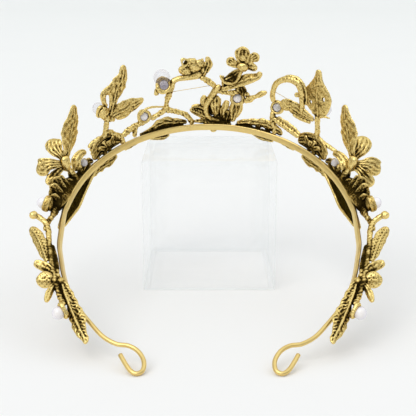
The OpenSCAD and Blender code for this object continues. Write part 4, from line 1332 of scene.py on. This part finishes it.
@dataclass
class SideBlossom(Casting):
    """Large open blossom seen from behind, with a tall leaf and a small curled petal."""

    hammer: float = 0.12
    shade_and_tarnish_spots: ShadeAndTarnishSpots = (
        ((70.4, 12.4, 8.6), 2.6, 0.8), ((66.4, 17.4, 9.2), 1.4, 0.7), ((67.4, 10.6, 6.4), 1.4, 0.6),
        ((60.6, 3.2, 3.2), 3.4, 0.9), ((56.4, 4.8, 3.6), 3, 0.8), ((64.4, 5, 3.4), 3, 0.8),
    )
    twigs: Twigs = (
        Twig((
            (63.8, 16.4, 6.2, 1.2), (65.6, 12.6, 5.8, 1.4), (64.4, 7, 3.8, 1.3), (63.6, 2, 2.3, 1.2),
        ), 0.12),
        Twig((
            (63.6, 2, 2.4, 1.1), (60.4, 1.9, 2.4, 1.1), (60.1, 4.6, 3.2, 1.1), (59.6, 7.4, 3.8, 1.1),
        ), 0.15),
    )
    fronds: Fronds = (
        Frond((
            (64.6, 14.6, 6, 2), (62.4, 17.9, 6.6, 3.2), (61, 20.1, 7, 5.2), (59.5, 22.6, 7.5, 6.5),
            (58.2, 24.9, 8, 6.7), (56.6, 27.3, 8.5, 5.5), (55.4, 29.7, 8.9, 4.2), (54.5, 32.2, 9.4, 2.9),
            (54.1, 34.9, 9.9, 1.6),
        ), cup=0.5, lobes=0.03, depth=0.8),
        Frond((
            (65, 1.8, 3, 1.2), (61.6, 2.2, 3, 2), (57.8, 2.8, 3.1, 2), (54.4, 3.8, 3.4, 1.4),
        ), Look.PLAIN, seen=True),
        Frond(((60.6, 3.6, 3.4, 1.6), (58.2, 5.4, 3.7, 2), (55.4, 6.6, 4, 1.5)), Look.PLAIN, seen=True),
    )
    left: Fronds = (
        *(Frond(rows, Look.RIBBED, seen=True) for rows in (
            (
                (65.4, 15, 5.8, 1.4), (65.2, 17.6, 8.5, 2.1), (64.3, 18.2, 11, 3.2), (63, 18.9, 13.5, 4.1),
                (61.8, 19.2, 15.5, 3.8), (60.7, 19.2, 16.8, 2.6),
            ),
            (
                (66.4, 14.4, 5.6, 1.1), (68.3, 15.3, 9, 2.2), (69.3, 15.6, 11.5, 3), (69.8, 14.2, 14, 4.2),
                (70.1, 12.9, 16, 3.9), (70, 12.2, 17.7, 2.4),
            ),
            (
                (66.4, 12.6, 5.6, 1.2), (68, 12, 7, 1.5), (70, 11.2, 8.2, 2.1), (71.8, 9.6, 9.6, 2.4),
                (73, 8, 10.8, 1.9),
            ),
            (
                (54.6, 10, 4.5, 1.2), (57.4, 11.2, 4.8, 2), (60, 10, 5, 2.3), (60.8, 7.4, 4.8, 2.3),
                (61.2, 4.4, 4.4, 1.7),
            ),
        )),
    )
    right: Fronds = (
        *(Frond(rows, Look.RIBBED, seen=True) for rows in (
            (
                (64.8, 14.4, 5.8, 1.6), (63.9, 16.5, 8.5, 2.7), (64, 19.3, 10.5, 3.7), (63, 20.6, 12.5, 4.2),
                (61.9, 21, 14.5, 3.8), (61, 21, 15.8, 2.6),
            ),
            (
                (66.4, 14.4, 5.8, 1.4), (67.6, 14.4, 9, 2.1), (68.1, 14.4, 11.5, 3.2), (68.4, 13.1, 14, 4),
                (69.1, 11.1, 16, 3.7), (69.3, 10.1, 17.7, 2.5),
            ),
            (
                (66.4, 12.6, 5.6, 1.4), (69, 12.8, 7, 2), (71.3, 11.6, 8.2, 2.8), (72.7, 9.8, 9.6, 2.9),
                (73.3, 7.4, 10.9, 2),
            ),
            (
                (55, 9.8, 4.5, 1.3), (58.2, 11, 4.8, 2), (61.4, 10.2, 5, 2.4), (63, 7.8, 4.8, 2.4),
                (63.2, 4.4, 4.4, 1.7),
            ),
        )),
    )
    balls: Balls = (Ball((66, 14.2, 5.2), 2.7, (1, 1.6, 0.8)),)


@dataclass
class SideLeaves(Casting):
    """Dark cluster of leaves between the blossom and the band, with a pearl's ring; its darkness is tarnish
    and painted shade.
    """

    hammer: float = 0.14
    # Nearly black all over: tarnish and painted shade between the blossom and the band.
    base_dark: float = 0.85
    shade_and_tarnish_spots: ShadeAndTarnishSpots = (
        ((79.6, 4.6, 3.4), 2, 0.4), ((66, 4, 3.4), 3, 0.3), ((77.4, 3, 3.2), 3, 0.6),
        ((72.6, 3, 3.2), 3, 0.6), ((81, 7, 6.8), 2.8, -0.45), ((80.8, 10, 6.6), 2.4, -0.2),
    )
    twigs: Twigs = (
        Twig((
            (59, 1.9, 2.6, 1.1), (64, 1.8, 2.5, 1.2), (69, 1.8, 2.5, 1.2), (72, 1.8, 2.5, 1.2),
            (75, 1.8, 2.5, 1.2), (78, 1.9, 2.6, 1.3), (80.2, 3.4, 4.6, 1.5), (80.8, 4.3, 6.8, 0.9),
        ), 0.16),
        Twig(((79.6, 3.4, 4, 1.2), (83.5, 4.6, 3.8, 1), (86, 4.2, 3.6, 0.9)), 0.16),
    )
    fronds: Fronds = (
        *(Frond(rows, Look.PUNCHED, depth=0.8, seen=True) for rows in (
            ((64.4, 1.6, 2.6, 1.8), (64.6, 5, 3.6, 2.1), (64.8, 8.6, 4.6, 1.3)),
            ((67.2, 1.6, 2.6, 2), (67.4, 4.6, 3.6, 2.1), (67.4, 6.6, 4.2, 1.6)),
            ((69.8, 1.6, 2.6, 2.2), (70.2, 6.8, 4.4, 2.3), (70.4, 11.6, 5.9, 1.5)),
            ((72.4, 1.6, 2.6, 2.3), (72.8, 7.4, 4.6, 2.7), (72.6, 13.4, 6.4, 2)),
            ((75, 1.6, 2.6, 2.3), (75.4, 7, 4.4, 2.7), (75.8, 13, 6.2, 1.8)),
            ((77.6, 1.6, 2.6, 2), (77.8, 5.4, 3.8, 2.2), (78, 9.8, 5.3, 1.5)),
        )),
        Frond((
            (64.2, 3.6, 2.9, 2.2), (67, 4.2, 3.2, 3), (70.6, 5.6, 3.7, 4.4), (74.4, 6.2, 3.9, 5.2),
            (77.6, 5, 3.5, 3.8), (79.6, 3.6, 3.1, 1.8),
        ), Look.PLAIN, thick=2, seen=True),
        Frond(((80, 1.4, 2.6, 1.5), (81, 3, 3.2, 1.6), (82.6, 3.8, 3.6, 1))),
        Frond(((52.8, 2.6, 3, 1), (54.6, 4.2, 3.5, 1.8), (56.6, 4.2, 3.6, 1.8), (59, 3.2, 3.3, 1.2))),
    )
    rings: Rings = (Ring((81, 7, 5.4), (-0.1, 0.2, 0.97), 3.7, 2.1, 2.9, 0.04),)
    balls: Balls = (Ball((80.6, 7.2, 5.4), 2.4, (1.2, 1.3, 0.4)),)


@dataclass
class LowLeaf(Casting):
    """Long leaf that hangs below the band: a dish painted dark with shade inside a rim painted bright as if
    lit.

    Its rows are [round, up, half width]; shares run from its lower rim, -1, to its upper, 1.
    """

    hammer: float = 0.08
    band_shade_and_tarnish: float = 0.2
    stand_off: float = 1.75
    rims: tuple[tuple[float, float], ...] = ((-0.86, 0.8), (0.96, 0.5))
    shade_from: float = -0.62
    middle: float = 70.5
    reach: float = 13.5
    rows: tuple[tuple[float, float, float], ...] = (
        (50, 0.2, 0.8), (54, -0.6, 2), (62, -2.9, 3.2), (69, -4, 4.2),
        (76, -3.2, 3.5), (82, -2.2, 2), (86, -1, 0.7),
    )

    def place(self, row: np.ndarray, share: float, lift: float) -> np.ndarray:
        """Returns a point at a share of the half width, lifted off the dish."""
        lean = math.radians(CROWN.flare)
        out, rise = CROWN.strip(row[0])
        up = row[1] + share * row[2] * math.cos(lean)
        return CROWN.spot((row[0], up, out + (up - rise) * math.tan(lean) + self.stand_off + lift))

    def build(self) -> None:
        """Adds the dish and its two rims."""
        fine = smooth_run(np.array(self.rows), 10)

        def shape(t: np.ndarray, turn: np.ndarray) -> np.ndarray:
            """Returns the dish's points."""
            rows = Maker.sample(t * (len(fine) - 1), np.arange(len(fine)), fine)
            s, top = np.cos(turn), np.sin(turn)
            lift = 0.45 * top + 0.05 * np.sin(rows[:, 0] * 1.7 + s * 4) * (top < 0)
            return np.array([self.place(r, a, b) for r, a, b in zip(rows, s, lift)])

        self.parts.append(Maker.loft(110, 24, shape))
        for share, radius in self.rims:
            rows = np.array([[*self.place(r, share, -0.2), min(radius, r[2] * 0.6)] for r in self.rows])
            self.parts.append(Maker.tube(rows, UP, 0.06))

    def shade(self, co: np.ndarray, dark: np.ndarray) -> np.ndarray:
        """Returns the darkness: painted shade makes the dish nearly black, and the whole leaf is painted
        lighter so its lower rim stands bright as if lit.
        """
        turn = CROWN.angle(co[:, 0], co[:, 1])
        rows = np.array(self.rows)
        middle, half = np.interp(turn, rows[:, 0], rows[:, 1]), np.interp(turn, rows[:, 0], rows[:, 2])
        share = (co[:, 2] - middle) / (half * math.cos(math.radians(CROWN.flare)))
        inside = 1 / (1 + np.exp(-(share - self.shade_from) * 14))
        ends = np.clip(1 - np.abs(turn - self.middle) / self.reach, 0, 1)
        return dark - 0.16 + inside * np.clip(ends * 4, 0, 1) * 1.1


@dataclass
class EndSpray(Casting):
    """Spray along an arm's end: ball twig, leaves, rosebud, long leaf and pearl's ring."""

    hammer: float = 0.12
    twig_flat: Place = (0, 1, 0)
    shade_and_tarnish_spots: ShadeAndTarnishSpots = (
        ((102.4, 2.5, 1.2), 2.8, 1), ((97.6, 2.5, 1.8), 2.2, 0.9), ((106.8, 2.6, 1), 2.4, 0.9),
        ((113.6, 3, 1.8), 2.2, 0.8), ((116.2, 3, 2.2), 1.8, 0.6), ((90.4, 3, 4.8), 1.4, 0.5),
        ((106.8, 3.4, 5.4), 1.6, 0.6), ((109.2, 3, 4), 1.8, 0.5), ((113.2, 3, 2.6), 1.8, 0.4),
        ((88.6, 3, 4.2), 1.8, 0.5), ((124.4, 3.6, 3.6), 1.8, 0.4), ((119.6, 1.4, 0.6), 1.4, 0.3),
    )
    twigs: Twigs = (
        Twig((
            (113.4, 3.4, 2.7, 1.4), (107, 3.2, 2.6, 1.2), (101, 3, 2.5, 1.1), (95, 2.6, 3.3, 1.2),
            (90, 3.2, 4.2, 1.3), (86.8, 3.8, 6.2, 1.3), (85.6, 5, 9, 1.25), (85.2, 5.9, 10.9, 1.3),
        ), 0.08),
        Twig(((90, 3.4, 5.8, 1), (84.6, 2.6, 5, 1.2), (81.6, 2.2, 3.8, 1.1), (80.4, 1.6, 2.6, 1)), 0.16),
        Twig(((110.6, 3.4, 2.4, 1.4), (111.4, 3, 4.8, 1.6)), 0.1),
        Twig(((112, 3.4, 2.7, 1.3), (118, 1.6, 3, 1.2), (121.6, 2.2, 3.4, 1.3), (123.2, 3.2, 5.1, 1)), 0.2),
        Twig((
            (114.7, 3.5, 0.4, 0.5), (118.1, 3.3, 0.8, 0.55), (121.6, 3.2, 1.2, 0.6), (127, 2.9, 2.3, 0.6),
            (130.7, 2.7, 3.2, 0.55), (134, 2.5, 4.2, 0.5), (137.1, 2.3, 5.3, 0.4),
        ), 0.05),
    )
    fronds: Fronds = (
        Frond((
            (103.4, 3, 4.2, 1), (102, 3, 4.7, 1.3), (99.6, 2.9, 5.4, 2.2), (96.7, 2.8, 6.3, 2.6),
            (94.2, 2.8, 7.6, 2.9), (91.6, 2.7, 9.2, 2.8), (89.8, 2.6, 11, 2.3), (88.2, 2.5, 12.6, 1.1),
        ), Look.PUNCHED, back=VIEW, lobes=0.03),
        Frond((
            (96, 2.4, 1.9, 0.9), (98.4, 2.4, 1.7, 1.4), (102.2, 2.4, 1.3, 1.7), (106.4, 2.4, 1.2, 1.7),
            (109, 2.4, 1.4, 1.2),
        ), Look.PLAIN, back=VIEW),
        Frond((
            (105.9, 2.5, 2, 1.4), (102.4, 2.5, 1.8, 1.5), (98.3, 2.5, 2.3, 1), (94.4, 2.5, 3.2, 0.5),
        ), back=VIEW),
        Frond((
            (108.2, 3.3, 3.2, 1.7), (106, 3.7, 5.7, 2.2), (104.6, 3.8, 8, 2), (103.9, 4, 10.1, 1.4),
        ), Look.RIBBED, back=VIEW),
        Frond((
            (112, 3, 3.4, 2.2), (111.2, 3, 5.2, 3.4), (110.7, 3, 7.2, 3.6), (110.2, 3, 9, 2.8),
            (109.8, 3, 10.2, 1.6),
        ), Look.PUNCHED, back=VIEW, thick=3),
        Frond((
            (113.6, 3, 3.4, 1.3), (115.3, 2.9, 5.6, 1.5), (116.9, 2.8, 7.3, 1.6), (118.3, 2.6, 8.7, 1.2),
            (119, 2.5, 9.6, 0.6),
        ), Look.RIBBED, back=VIEW),
        Frond((
            (113.3, 3, 0.5, 1.7), (117, 2.8, 0, 2.2), (120.8, 2.7, -0.1, 2.4), (124.3, 2.5, 0.5, 2.7),
            (127.8, 2.4, 1.4, 3.3), (130.7, 2.2, 2.4, 3.4), (133.3, 2.1, 4, 2.8), (135.4, 1.9, 4.6, 2.1),
            (137.5, 1.8, 5.4, 1.5), (138.8, 1.6, 6.6, 0.7),
        ), Look.FERN, back=(0, 0.9, 0.42), lobes=0.08),
    )
    rings: Rings = (Ring((125.2, 3.9, 4.5), (0.1, 0, 1), 3.6, 1.9, 1.8, 0.1),)
    balls: Balls = (
        Ball((85.4, 6.1, 11.6), 1.9), Ball((113, 2.8, 0.7), 1.9), Ball((110.6, 3, 1.4), 1.5),
        Ball((108.4, 2.7, 1.2), 1.3),
    )


@dataclass
class FrontLeaves(Casting):
    """Long lumpy leaf along the front of the band, with lumps that hang towards the box."""

    base_dark: float = 0.5
    band_shade_and_tarnish: float = 0.9
    twigs: Twigs = (
        Twig((
            (10.6, 1.5, 2.5, 1.1), (14.4, 1.5, 2.5, 1.1), (18.2, 1.5, 2.5, 1.1), (22, 1.5, 2.5, 1.1),
            (25.8, 1.5, 2.5, 1.1),
        ), 0.24),
    )
    fronds: Fronds = (
        Frond(((18.8, 1.6, 2.6, 1.3), (19.6, -0.8, 2.6, 1.4), (20.4, -2.8, 2.6, 1.4))),
        Frond((
            (24, 1.6, 2.5, 1.1), (28, 0, 2.6, 1.4), (32, -1.4, 2.6, 1.6), (37, -2.6, 2.7, 1.1),
        ), lobes=0.08),
    )
    left: Fronds = (
        Frond((
            (9.2, 2.7, 2.9, 0.9), (11.7, 3.6, 3, 1.6), (14.6, 4.1, 3, 2.1), (17.5, 4.9, 3.1, 2.8),
            (20.5, 4.6, 3.1, 2.7), (23.6, 3.2, 2.9, 1.6), (26.2, 2.4, 2.8, 0.9),
        ), thick=1.6, lobes=0.08),
        Frond(((22, 2.6, 2.8, 1.3), (26.4, 2.2, 2.8, 1.2), (29.6, 2, 2.8, 0.8)), lobes=0.06),
        Frond(((16.7, -2.9, 2.6, 0.7), (18.7, -3.6, 2.6, 1.7), (21.7, -3.2, 2.6, 1.5), (25.2, -2, 2.6, 0.9))),
    )
    right: Fronds = (
        Frond((
            (11.2, 3, 2.9, 0.9), (14.3, 4, 3, 1.5), (17.2, 4.7, 3.1, 1.9), (20.2, 5.2, 3.1, 2.4),
            (23.1, 5.7, 3.2, 2.8), (26.2, 5.2, 3.2, 2.9), (29, 4, 3, 2.1), (31, 2.9, 2.9, 1.1),
        ), thick=1.6, lobes=0.08),
        Frond((
            (18, -1.7, 2.6, 1), (20, -2.6, 2.6, 1.3), (22.3, -3.2, 2.6, 1.5), (25, -3.3, 2.6, 1.1),
            (27.4, -2.8, 2.6, 0.7),
        )),
    )


# Band, pearls, box and studio


@dataclass
class Band:
    """The oval strip that runs out into a hooked wire at each end."""

    arm: tuple[tuple[float, float], ...] = (
        (66.8, -4), (65.2, -14), (62.6, -24.5), (58.7, -34.6), (53.3, -44.4),
        (47.2, -52.9), (42.4, -58.6), (37, -62.1),
        (32.4, -62.9), (28.4, -65.6), (25.8, -70.4), (25.9, -75.2),
        (28.6, -76.8), (31.6, -74.2), (35.6, -66.8),
    )
    taper_from: float = 106.0
    wire_from: float = 124.0
    # Painted shade on the arms' upper edge and on the outer face.
    arm_edge_shade: float = 1.2
    outer_face_shade: float = 0.5
    arms_from: float = 92.0

    def path(self) -> np.ndarray:
        """Returns the whole middle line as rows of x, y, z, half height, half thickness."""
        head = [CROWN.oval(a)[:2] for a in np.arange(0, 84, 4)]
        line = smooth_run(np.array([*head, *self.arm]), 8)
        angle = CROWN.angle(*line.T)
        share = np.clip((angle - self.taper_from) / (self.wire_from - self.taper_from), 0, 1)
        half_h = CROWN.strip_h / 2 + (CROWN.wire_r - CROWN.strip_h / 2) * share
        half_t = CROWN.strip_t / 2 + (CROWN.wire_r - CROWN.strip_t / 2) * share
        out, rise = CROWN.strip(angle)
        away = np.stack([CROWN.front * np.sin(np.radians(angle)), CROWN.side * np.cos(np.radians(angle))], 1)
        right = np.column_stack([line + unit(away) * out[:, None], rise, half_h, half_t])
        left = right[::-1].copy()
        left[:, 0] *= -1
        return np.vstack([left, right[1:]])

    def build(self, material: bpy.types.Material) -> None:
        """Makes the band from a ball primitive drawn out along the path."""
        path = self.path()
        far = Maker.along(path)
        lean = math.radians(CROWN.flare)
        slope = np.gradient(path[:, :3] * (1, 1, 0), far, axis=0)
        darkening = []

        def shape(t: np.ndarray, turn: np.ndarray) -> np.ndarray:
            """Returns the band's points: a rounded strip leaning outwards."""
            s = t * far[-1]
            half_h, half_t = (np.interp(s, far, path[:, k]) for k in (3, 4))
            out = np.cross(UP, unit(Maker.sample(s, far, slope)))
            high = UP * math.cos(lean) + out * math.sin(lean)
            thick = out * math.cos(lean) - UP * math.sin(lean)
            end = Maker.round_end(np.minimum(s, far[-1] - s) / half_t)
            power = np.where(half_h > half_t * 1.15, 0.5, 1.0)
            c, w = Maker.squarer(np.cos(turn), power), Maker.squarer(np.sin(turn), power)
            flat = np.clip((half_h / half_t - 1.2) * 2, 0, 1)
            # Painted shade: the outer face darkens where the castings sit against it, and on the arms the
            # upper edge darkens as if in shadow.
            arms = np.clip((abs(s - far[-1] / 2) - self.arms_from) / 20, 0, 1)
            edge = self.arm_edge_shade * np.clip(c - 0.6, 0, 1) * arms
            darkening.append((self.outer_face_shade * np.clip(w, 0, 1) + edge) * flat)
            mid = Maker.sample(s, far, path)
            return mid + high * (c * half_h * end)[:, None] + thick * (w * half_t * end)[:, None]

        piece = Maker.loft(520, 24, shape)
        store(piece.data, "patina", darkening[-1])
        Maker.to_row(piece)
        settle(piece, "band", material, "band_gold", "band")


@dataclass
class Pearl:
    """A pearl or bead in the place of its CAD ball, with a small drill mark."""

    node: str
    slot: str = "pearl"
    drill_depth: float = 0.06

    def build(self, material: bpy.types.Material) -> None:
        """Makes the pearl from a ball primitive."""
        low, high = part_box(self.node)
        middle = (low + high) / 2
        r = (high.x - low.x) / 2
        bpy.ops.mesh.primitive_uv_sphere_add(segments=40, ring_count=24, radius=r, location=middle)
        piece = bpy.context.object
        bpy.ops.object.transform_apply(location=True, rotation=True, scale=True)
        Maker.edit(bpy.ops.mesh.select_all, False, action="DESELECT")
        for vertex in piece.data.vertices:
            vertex.select = abs(vertex.co.z - high.z) < r * 0.02
        Maker.edit(bpy.ops.transform.translate, False, value=(0, 0, -r * self.drill_depth))
        settle(piece, self.node, material, self.slot, self.node)


@dataclass
class BeadShadeLens:
    """A dark lens of painted shade: the shaded underside of the rose's bead, seen through its ring."""

    name: str
    place: Place
    face: Place
    radius: float = 2.6
    half_h: float = 0.9
    middle: float = 1.2

    def build(self, material: bpy.types.Material) -> None:
        """Makes the lens from a ball primitive."""
        stand = CROWN.stand(self.place, self.face)

        def shape(t: np.ndarray, turn: np.ndarray) -> np.ndarray:
            """Returns the lens's points."""
            wide = self.radius * np.sin(t * math.pi)
            return stand.at(Maker.polar(turn, wide, self.middle - self.half_h * np.cos(t * math.pi)))

        piece = Maker.loft(20, 32, shape)
        Maker.to_row(piece)
        settle(piece, self.name, material, "glass_bead")


@dataclass
class Stone:
    """A clear faceted stone in the place of its CAD ball."""

    node: str
    bevel: float = 0.06

    def build(self, material: bpy.types.Material) -> None:
        """Makes the stone from a bevelled ball primitive."""
        low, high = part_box(self.node)
        radius = (high.x - low.x) / 2
        bpy.ops.mesh.primitive_ico_sphere_add(subdivisions=2, radius=radius, location=(low + high) / 2)
        piece = bpy.context.object
        bpy.ops.object.transform_apply(location=True, rotation=True, scale=True)
        Maker.edit(bpy.ops.mesh.bevel, offset=self.bevel * MM, segments=1, affect="EDGES")
        settle(piece, self.node, material, "clear_stone", self.node)
        piece.data.shade_flat()


@dataclass
class DisplayBox:
    """Clear five-sided display box, open at the bottom."""

    side: float = 64.0
    wall: float = 3.2
    bevel: float = 0.5
    lift: float = 0.2

    def build(self, material: bpy.types.Material) -> None:
        """Makes the box from a cube: bottom taken off, walls thickened, edges rounded."""
        middle = Vector((0, CROWN.cube_y + self.side / 2, self.side / 2)) * MM
        bpy.ops.mesh.primitive_cube_add(size=self.side * MM, location=middle)
        piece = bpy.context.object
        bpy.ops.object.transform_apply(location=True, rotation=True, scale=True)
        Maker.edit(bpy.ops.mesh.select_mode, False, type="FACE")
        for polygon in piece.data.polygons:
            polygon.select = polygon.normal.z < -0.5
        Maker.edit(bpy.ops.mesh.delete, False, type="FACE")
        Maker.modify(piece, "SOLIDIFY", thickness=self.wall * MM, offset=-1, use_even_offset=True)
        Maker.modify(piece, "BEVEL", width=self.bevel * MM, segments=3)
        Maker.edit(bpy.ops.mesh.subdivide, number_cuts=5)
        self.mark_edges(piece)
        settle(piece, "display_box", material, "clear_box", "display_box")
        piece.data.shade_flat()

    def mark_edges(self, piece: bpy.types.Object) -> None:
        """Stores how near each point is to an outer edge, and lifts the rim just off the floor."""
        co = Maker.points(piece.data)
        half = self.side / 2
        near = half - np.abs(co / MM - np.array([0, CROWN.cube_y + half, half]))
        co[:, 2] = np.maximum(co[:, 2], self.lift * MM)
        Maker.move_points(piece.data, co)
        second = np.sort(near, axis=1)[:, 1]
        store(piece.data, "edge", np.clip(1 - (second - self.bevel) / self.bevel, 0, 1))


@dataclass
class HairWire:
    """A hair-thin wire left between two sprays."""

    name: str
    ends: tuple[Place, ...]
    radius: float = 0.13

    def build(self, material: bpy.types.Material) -> None:
        """Makes the wire from a ball primitive drawn out along its line."""
        rows = np.array([[*CROWN.spot(p), self.radius] for p in self.ends])
        piece = Maker.tube(rows, UP, sides=8, pitch=1.0)
        store(piece.data, "patina", np.full(len(piece.data.vertices), 0.3))
        Maker.to_row(piece)
        settle(piece, self.name, material, "cast_gold")


@dataclass
class Studio:
    """Pale floor, soft lights and the camera at the photograph's angle."""

    image: float = 416.0
    focal: float = 950.81
    centre_x: float = 209.3
    camera_at: Place = (0.0, -0.4192, 0.1596)
    tilt: float = 15.167
    floor_size: float = 8.0
    bend_from: float = 2.6
    bend: float = 1.1
    sky: Stops = (
        (0.0, (0.20, 0.20, 0.20)), (0.3, (0.42, 0.435, 0.44)), (0.7, (0.80, 0.83, 0.85)),
        (1.0, (0.97, 1.0, 1.0)),
    )

    def camera(self) -> None:
        """Places the camera solved from the box's edges."""
        data = bpy.data.cameras.new("camera")
        data.sensor_width = 36.0
        data.sensor_fit = "HORIZONTAL"
        data.lens = self.focal * data.sensor_width / self.image
        data.shift_x = -(self.centre_x - self.image / 2) / self.image
        data.clip_start = 0.01
        data.clip_end = 50
        camera = bpy.data.objects.new("camera", data)
        camera.location = self.camera_at
        camera.rotation_euler = (math.radians(90 - self.tilt), 0, 0)
        bpy.context.scene.collection.objects.link(camera)
        bpy.context.scene.camera = camera

    def floor(self) -> None:
        """Makes a wide pale floor that curves up far behind."""
        bpy.ops.mesh.primitive_grid_add(x_subdivisions=8, y_subdivisions=60, size=self.floor_size)
        piece = bpy.context.object
        for vertex in piece.data.vertices:
            vertex.co.z = max(0.0, vertex.co.y - self.bend_from) ** 2 * self.bend
        piece.name = "floor"
        piece.data.materials.append(StudioPaper().make())
        piece.data.shade_smooth()

    def sun(self, name: str, at: Place, spread: float, power: float, colour: Colour) -> None:
        """Adds a wide soft lamp far away, so that the floor is lit evenly.

        Args:
            name: Its name.
            at: Direction that it shines from.
            spread: Angle that it takes up in the sky, in degrees.
            power: Its strength.
            colour: Its colour.
        """
        data = bpy.data.lights.new(name, "SUN")
        data.angle = math.radians(spread)
        data.energy = power
        data.color = colour
        lamp = bpy.data.objects.new(name, data)
        lamp.location = at
        lamp.rotation_euler = (-Vector(at)).to_track_quat("-Z", "Y").to_euler()
        bpy.context.scene.collection.objects.link(lamp)

    def world(self) -> None:
        """Sets a soft pale surround that is brightest overhead."""
        world = bpy.data.worlds.new("surround")
        world.use_nodes = True
        tree = world.node_tree
        ground = tree.nodes["Background"]
        ground.inputs["Strength"].default_value = 1.0
        where = tree.nodes.new("ShaderNodeTexCoord")
        split = tree.nodes.new("ShaderNodeSeparateXYZ")
        ramp = tree.nodes.new("ShaderNodeValToRGB")
        fill_ramp(ramp.color_ramp, self.sky)
        tree.links.new(where.outputs["Generated"], split.inputs[0])
        tree.links.new(split.outputs["Z"], ramp.inputs[0])
        tree.links.new(ramp.outputs[0], ground.inputs["Color"])
        bpy.context.scene.world = world

    def build(self) -> None:
        """Builds the studio."""
        self.camera()
        self.floor()
        self.sun("key", (-0.5, -0.75, 1.0), 48.0, 1.15, (1.0, 0.985, 0.955))
        self.sun("fill", (0.9, 0.2, 0.8), 60.0, 0.25, (0.97, 0.99, 1.0))
        self.world()
        bpy.context.scene.view_settings.view_transform = "Standard"


def castings() -> list[Casting]:
    """Returns every cast piece of the crown."""
    pieces: list[Casting] = [
        RoseSpray("rose_spray"), CentreSpray("centre_spray"), LeafSprayLeft("leaf_spray_left"),
        ArchSpray("arch_spray"), LeafSprayRight("leaf_spray_right"),
    ]
    for side, mirrored in (("left", True), ("right", False)):
        for kind, name in (
            (Rosette, "rosette"), (SideBlossom, "side_blossom"), (SideLeaves, "side_leaves"),
            (LowLeaf, "low_leaf"), (EndSpray, "end_spray"), (FrontLeaves, "front_leaves"),
        ):
            pieces.append(kind(f"{name}_{side}", mirrored))
    return pieces


def main() -> None:
    """Builds the crown, its box and the studio."""
    logging.basicConfig(level=logging.INFO, format="%(name)s %(message)s")
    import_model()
    Studio().build()
    cast_gold = CastGold().make()
    for piece in castings():
        piece.build()
        piece.finish(cast_gold)
    Band().build(BandGold().make())
    HairWire("hair_wire_left", ((-15.6, 20.6, 6.0), (1.4, 22.6, 6.2))).build(cast_gold)
    HairWire("hair_wire_right", ((25.0, 24.4, 6.6), (33.0, 21.6, 6.8), (38.0, 19.0, 6.4))).build(cast_gold)
    pearl = PearlFinish().make()
    # A darker copy of the pearl finish for the right ring pearl: painted shade.
    shaded_copy = PearlFinish("shaded_copy_pearl", (0.50, 0.48, 0.44), (0.42, 0.42, 0.42)).make()
    white = PearlFinish("white_pearl", (0.93, 0.92, 0.93), (0.88, 0.88, 0.91)).make()
    for place, finish in (("centre", pearl), ("left", pearl), ("right", shaded_copy)):
        Pearl(f"ring_pearl_{place}").build(finish)
    for side in ("left", "right"):
        Pearl(f"side_pearl_{side}").build(white)
        Pearl(f"end_pearl_{side}").build(pearl)
    # Painted shade for the dark lens in the rose bead's ring.
    shade = PearlFinish("bead_shade", (0.34, 0.31, 0.36), (0.10, 0.08, 0.11)).make()
    BeadShadeLens("rose_bead_shade_lens", RoseSpray.bead_spot, RoseSpray.bead_face).build(shade)
    bead = BeadGlass().make()
    for node in ("rose_bead", "leaf_bead_left", "leaf_bead_right"):
        Pearl(node, "glass_bead").build(bead)
    stone = PearlFinish("clear_stone", (0.82, 0.78, 0.77), (0.66, 0.64, 0.66), 0.05, 0.3).make()
    for side in ("left", "right"):
        Stone(f"side_stone_{side}").build(stone)
    DisplayBox().build(Acrylic().make())


if __name__ == "__main__":
    main()
